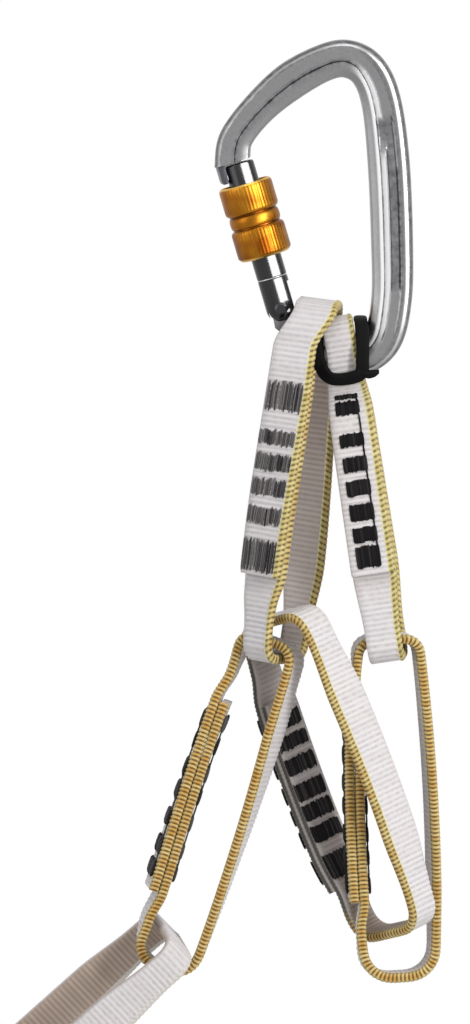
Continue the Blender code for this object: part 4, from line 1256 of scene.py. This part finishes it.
# The fittings that keep their solids' shapes: the look's name, its colour, roughness and grain.
FITTINGS = {
    "gate_rivet": ("dark_rivet", (0.05, 0.05, 0.053), 0.2),
    "gate_plunger": ("turned_plunger", (0.45, 0.45, 0.46), 0.25),
    "gate_spring": ("drawn_spring", (0.5, 0.5, 0.5), 0.3, 1800.0),
}


class ANCHOR_OT_fittings(bpy.types.Operator):
    """Finishes the rivet, the plunger and the spring"""

    bl_idname = "object.anchor_fittings"
    bl_label = "Rivet and Spring"

    def execute(self, context):
        for name, look in FITTINGS.items():
            material = plain_metal(*look)
            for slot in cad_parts[name].material_slots:
                slot.material = material
        return {"FINISHED"}


# The keeper's middle line: over the bar, down its front, under the strap and up again.
KEEPER_FRONT = [
    (4.6, -6.0, -70.6), (4.9, -10.0, -74.8), (4.9, -11.3, -80.5), (4.4, -11.2, -84.6),
    (0.2, -10.8, -86.2), (-4.6, -10.5, -85.9), (-7.4, -8.8, -82.2), (-8.2, -7.5, -77.0),
    (-8.9, -5.2, -70.2),
]
KEEPER_TOPS = [(4.3, 0.0, -69.6), (-8.9, 0.0, -68.2)]
KEEPER_MIDDLE = Vector((0.0, 0.0, -79.0)) * MM
KEEPER_HALF = (1.0 * MM, 1.9 * MM)  # half the band's thickness and half its width
KEEPER_SQUARENESS = 4  # 2 would make the band's section an ellipse
KEEPER_STEPS = 10
KEEPER_AROUND = 20
# The moulding's stub at the keeper's lower corner, with its radius.
KEEPER_TAIL = [
    (4.2, -11.0, -84.0, 1.3), (6.4, -11.0, -84.8, 1.3), (8.4, -10.8, -84.6, 1.1),
    (9.7, -10.6, -84.1, 0.6),
]
TAIL_STEPS = 12


class ANCHOR_OT_keeper(bpy.types.Operator):
    """Builds the rubber band that holds the end loop's strap on the bar"""

    bl_idname = "object.anchor_keeper"
    bl_label = "Strap Keeper"

    def execute(self, context):
        back = [(x, -y, z) for x, y, z in reversed(KEEPER_FRONT)]
        path = [KEEPER_TOPS[0], *KEEPER_FRONT, KEEPER_TOPS[1], *back]
        rows = [path[-1], *path, path[0], path[1]]
        count = len(path) * KEEPER_STEPS
        curve = [Vector(between(rows, 1 + i / KEEPER_STEPS)) * MM for i in range(count)]
        rings = []
        for i, point in enumerate(curve):
            run = (curve[(i + 1) % count] - curve[i - 1]).normalized()
            out = point - KEEPER_MIDDLE
            out.x = 0.0
            out = (out - run * out.dot(run)).normalized()
            side = run.cross(out)
            ring = []
            for k in range(KEEPER_AROUND):
                angle = math.tau * k / KEEPER_AROUND
                c, s = math.cos(angle), math.sin(angle)
                square = sum(abs(v) ** KEEPER_SQUARENESS for v in (c, s)) ** (-1 / KEEPER_SQUARENESS)
                thick = out * KEEPER_HALF[0] * c * square
                ring.append(point + thick + side * KEEPER_HALF[1] * s * square)
            rings.append(ring)
        bm = bmesh.new()
        tube(bm, count, KEEPER_AROUND, lambda i, j: rings[i % count][j], closed=True)

        def tail(i, j):
            x, y, z, radius = between(KEEPER_TAIL, (len(KEEPER_TAIL) - 1) * i / TAIL_STEPS)
            angle = math.tau * j / KEEPER_AROUND
            return Vector((x, y + radius * math.cos(angle), z + radius * math.sin(angle))) * MM

        tube(bm, TAIL_STEPS, KEEPER_AROUND, tail)
        material = rubber_material()
        replaced = ("strap_keeper",)
        add_piece("rubber_keeper", bm, "end", material, replaced, smooth=60)
        return {"FINISHED"}


FLOOR_HALF = 1.5
FLOOR_BELOW = 0.3  # how far below the harness loop's end the floor lies
CHAIN_MIDDLE = Vector((-20, 0, -150)) * MM
# The lamps, each with its azimuth, distance, height above what it faces, width, height and power.
SOFTBOXES = {
    "key_strip": (42.0, 1.5, 0.55, 0.30, 1.5, 19.0),
    "left_softbox": (-60.0, 1.5, 0.5, 0.9, 1.2, 6.0),
    "top_softbox": (10.0, 0.5, 1.6, 1.0, 0.8, 7.0),
}
# Tall lamps, each of which only one piece's gloss shows.
GLOSS_STRIPS = {
    "gate_tube": (40.0, 1.2, 0.12, 1.5, 2.2, 330.0),
    "knurled_sleeve": (34.0, 1.2, 0.12, 0.9, 2.2, 24.0),
}
LENS_DISTANCE = 3.0
LENS_REACH = 20.0
LENS_ELEVATION = math.radians(5.0)


class ANCHOR_OT_stage(bpy.types.Operator):
    """Sets up the floor, the background, the lamps and the camera"""

    bl_idname = "object.anchor_stage"
    bl_label = "Stage"

    def execute(self, context):
        scene = context.scene
        scene.view_settings.view_transform = "Standard"
        self.floor()
        self.world(scene)
        self.lamps()
        self.camera(scene)
        return {"FINISHED"}

    def floor(self):
        bm = bmesh.new()
        bmesh.ops.create_grid(bm, x_segments=1, y_segments=1, size=FLOOR_HALF)
        bmesh.ops.translate(bm, verts=bm.verts, vec=(0, 0, CAD_BOX[0][2] - FLOOR_BELOW))
        mesh = new_mesh("studio_floor", bm)
        mesh.materials.append(paper_material())
        new_object("studio_floor", mesh)

    def world(self, scene):
        world = bpy.data.worlds.new("studio")
        scene.world = world
        world.use_nodes = True
        nodes = Nodes(world.node_tree)
        backing = nodes.tree.nodes["Background"]
        nodes.join(WHITE, backing.inputs["Color"])
        nodes.join(nodes.seen() * (1.0 - ROOM_LIGHT) + ROOM_LIGHT, backing.inputs["Strength"])

    def softbox(self, name, aim, azimuth, distance, rise, width, tall, power):
        """A lamp that stands at an azimuth round what it faces, 0 being the camera's side."""
        data = bpy.data.lights.new(name, "AREA")
        data.shape = "RECTANGLE"
        data.size = width
        data.size_y = tall
        data.energy = power
        lamp = new_object(name, data)
        angle = math.radians(azimuth)
        lamp.location = aim + Vector((math.sin(angle) * distance, -math.cos(angle) * distance, rise))
        lamp.rotation_euler = (aim - lamp.location).to_track_quat("-Z", "Y").to_euler()
        return lamp

    def lamps(self):
        for name, placed in SOFTBOXES.items():
            self.softbox(name, CHAIN_MIDDLE, *placed)
        for piece, placed in GLOSS_STRIPS.items():
            shown = bpy.data.collections.new(piece + "_gloss")
            shown.objects.link(bpy.data.objects[piece])
            lamp = self.softbox(piece + "_softbox", GATE_PIVOT, *placed)
            lamp.visible_diffuse = False
            lamp.light_linking.receiver_collection = shown

    def camera(self, scene):
        """A long lens at the photograph's height, so that a millimetre is 3.45 pixels at the chain."""
        data = bpy.data.cameras.new("photo_camera")
        data.sensor_fit = "VERTICAL"
        tall = PHOTO_SIZE[1] / PHOTO_SCALE * MM
        data.angle_y = 2 * math.atan(tall / 2 / LENS_DISTANCE)
        data.clip_end = LENS_REACH
        made = new_object("photo_camera", data)
        right = (PHOTO_SIZE[0] / 2 - PHOTO_ORIGIN[0]) / PHOTO_SCALE * MM
        up = (PHOTO_ORIGIN[1] - PHOTO_SIZE[1] / 2) / PHOTO_SCALE * MM / math.cos(LENS_ELEVATION)
        back = Vector((0, -math.cos(LENS_ELEVATION), math.sin(LENS_ELEVATION))) * LENS_DISTANCE
        made.location = Vector((right, 0.0, up)) + back
        made.rotation_euler = (math.pi / 2 - LENS_ELEVATION, 0.0, 0.0)
        scene.camera = made


class ANCHOR_PT_panel(bpy.types.Panel):
    """Lists the steps that dress the model"""

    bl_idname = "ANCHOR_PT_panel"
    bl_label = "Anchor Chain"
    bl_space_type = "VIEW_3D"
    bl_region_type = "UI"
    bl_category = "Anchor Chain"

    def draw(self, context):
        settings = context.scene.anchor_chain
        for group in (settings.tape, settings.thread, settings.metal):
            box = self.layout.box()
            for name in group.bl_rna.properties.keys():
                if name not in ("rna_type", "name"):
                    box.prop(group, name)
        for operator in STEPS:
            self.layout.operator(operator.bl_idname)


STEPS = (
    ANCHOR_OT_bow,
    ANCHOR_OT_gate,
    ANCHOR_OT_sleeve,
    ANCHOR_OT_fittings,
    ANCHOR_OT_keeper,
    ANCHOR_OT_tape,
    ANCHOR_OT_edge,
    ANCHOR_OT_stitching,
    ANCHOR_OT_stage,
)
CLASSES = (TapeSettings, ThreadSettings, MetalSettings, ChainSettings, *STEPS, ANCHOR_PT_panel)


def register():
    for cls in CLASSES:
        bpy.utils.register_class(cls)
    bpy.types.Scene.anchor_chain = PointerProperty(type=ChainSettings)


def unregister():
    del bpy.types.Scene.anchor_chain
    for cls in reversed(CLASSES):
        bpy.utils.unregister_class(cls)


def main():
    register()
    bpy.ops.object.anchor_bow()
    bpy.ops.object.anchor_gate()
    bpy.ops.object.anchor_sleeve()
    bpy.ops.object.anchor_fittings()
    bpy.ops.object.anchor_keeper()
    bpy.ops.object.anchor_tape()
    bpy.ops.object.anchor_edge()
    bpy.ops.object.anchor_stitching()
    bpy.ops.object.anchor_stage()


if __name__ == "__main__":
    main()
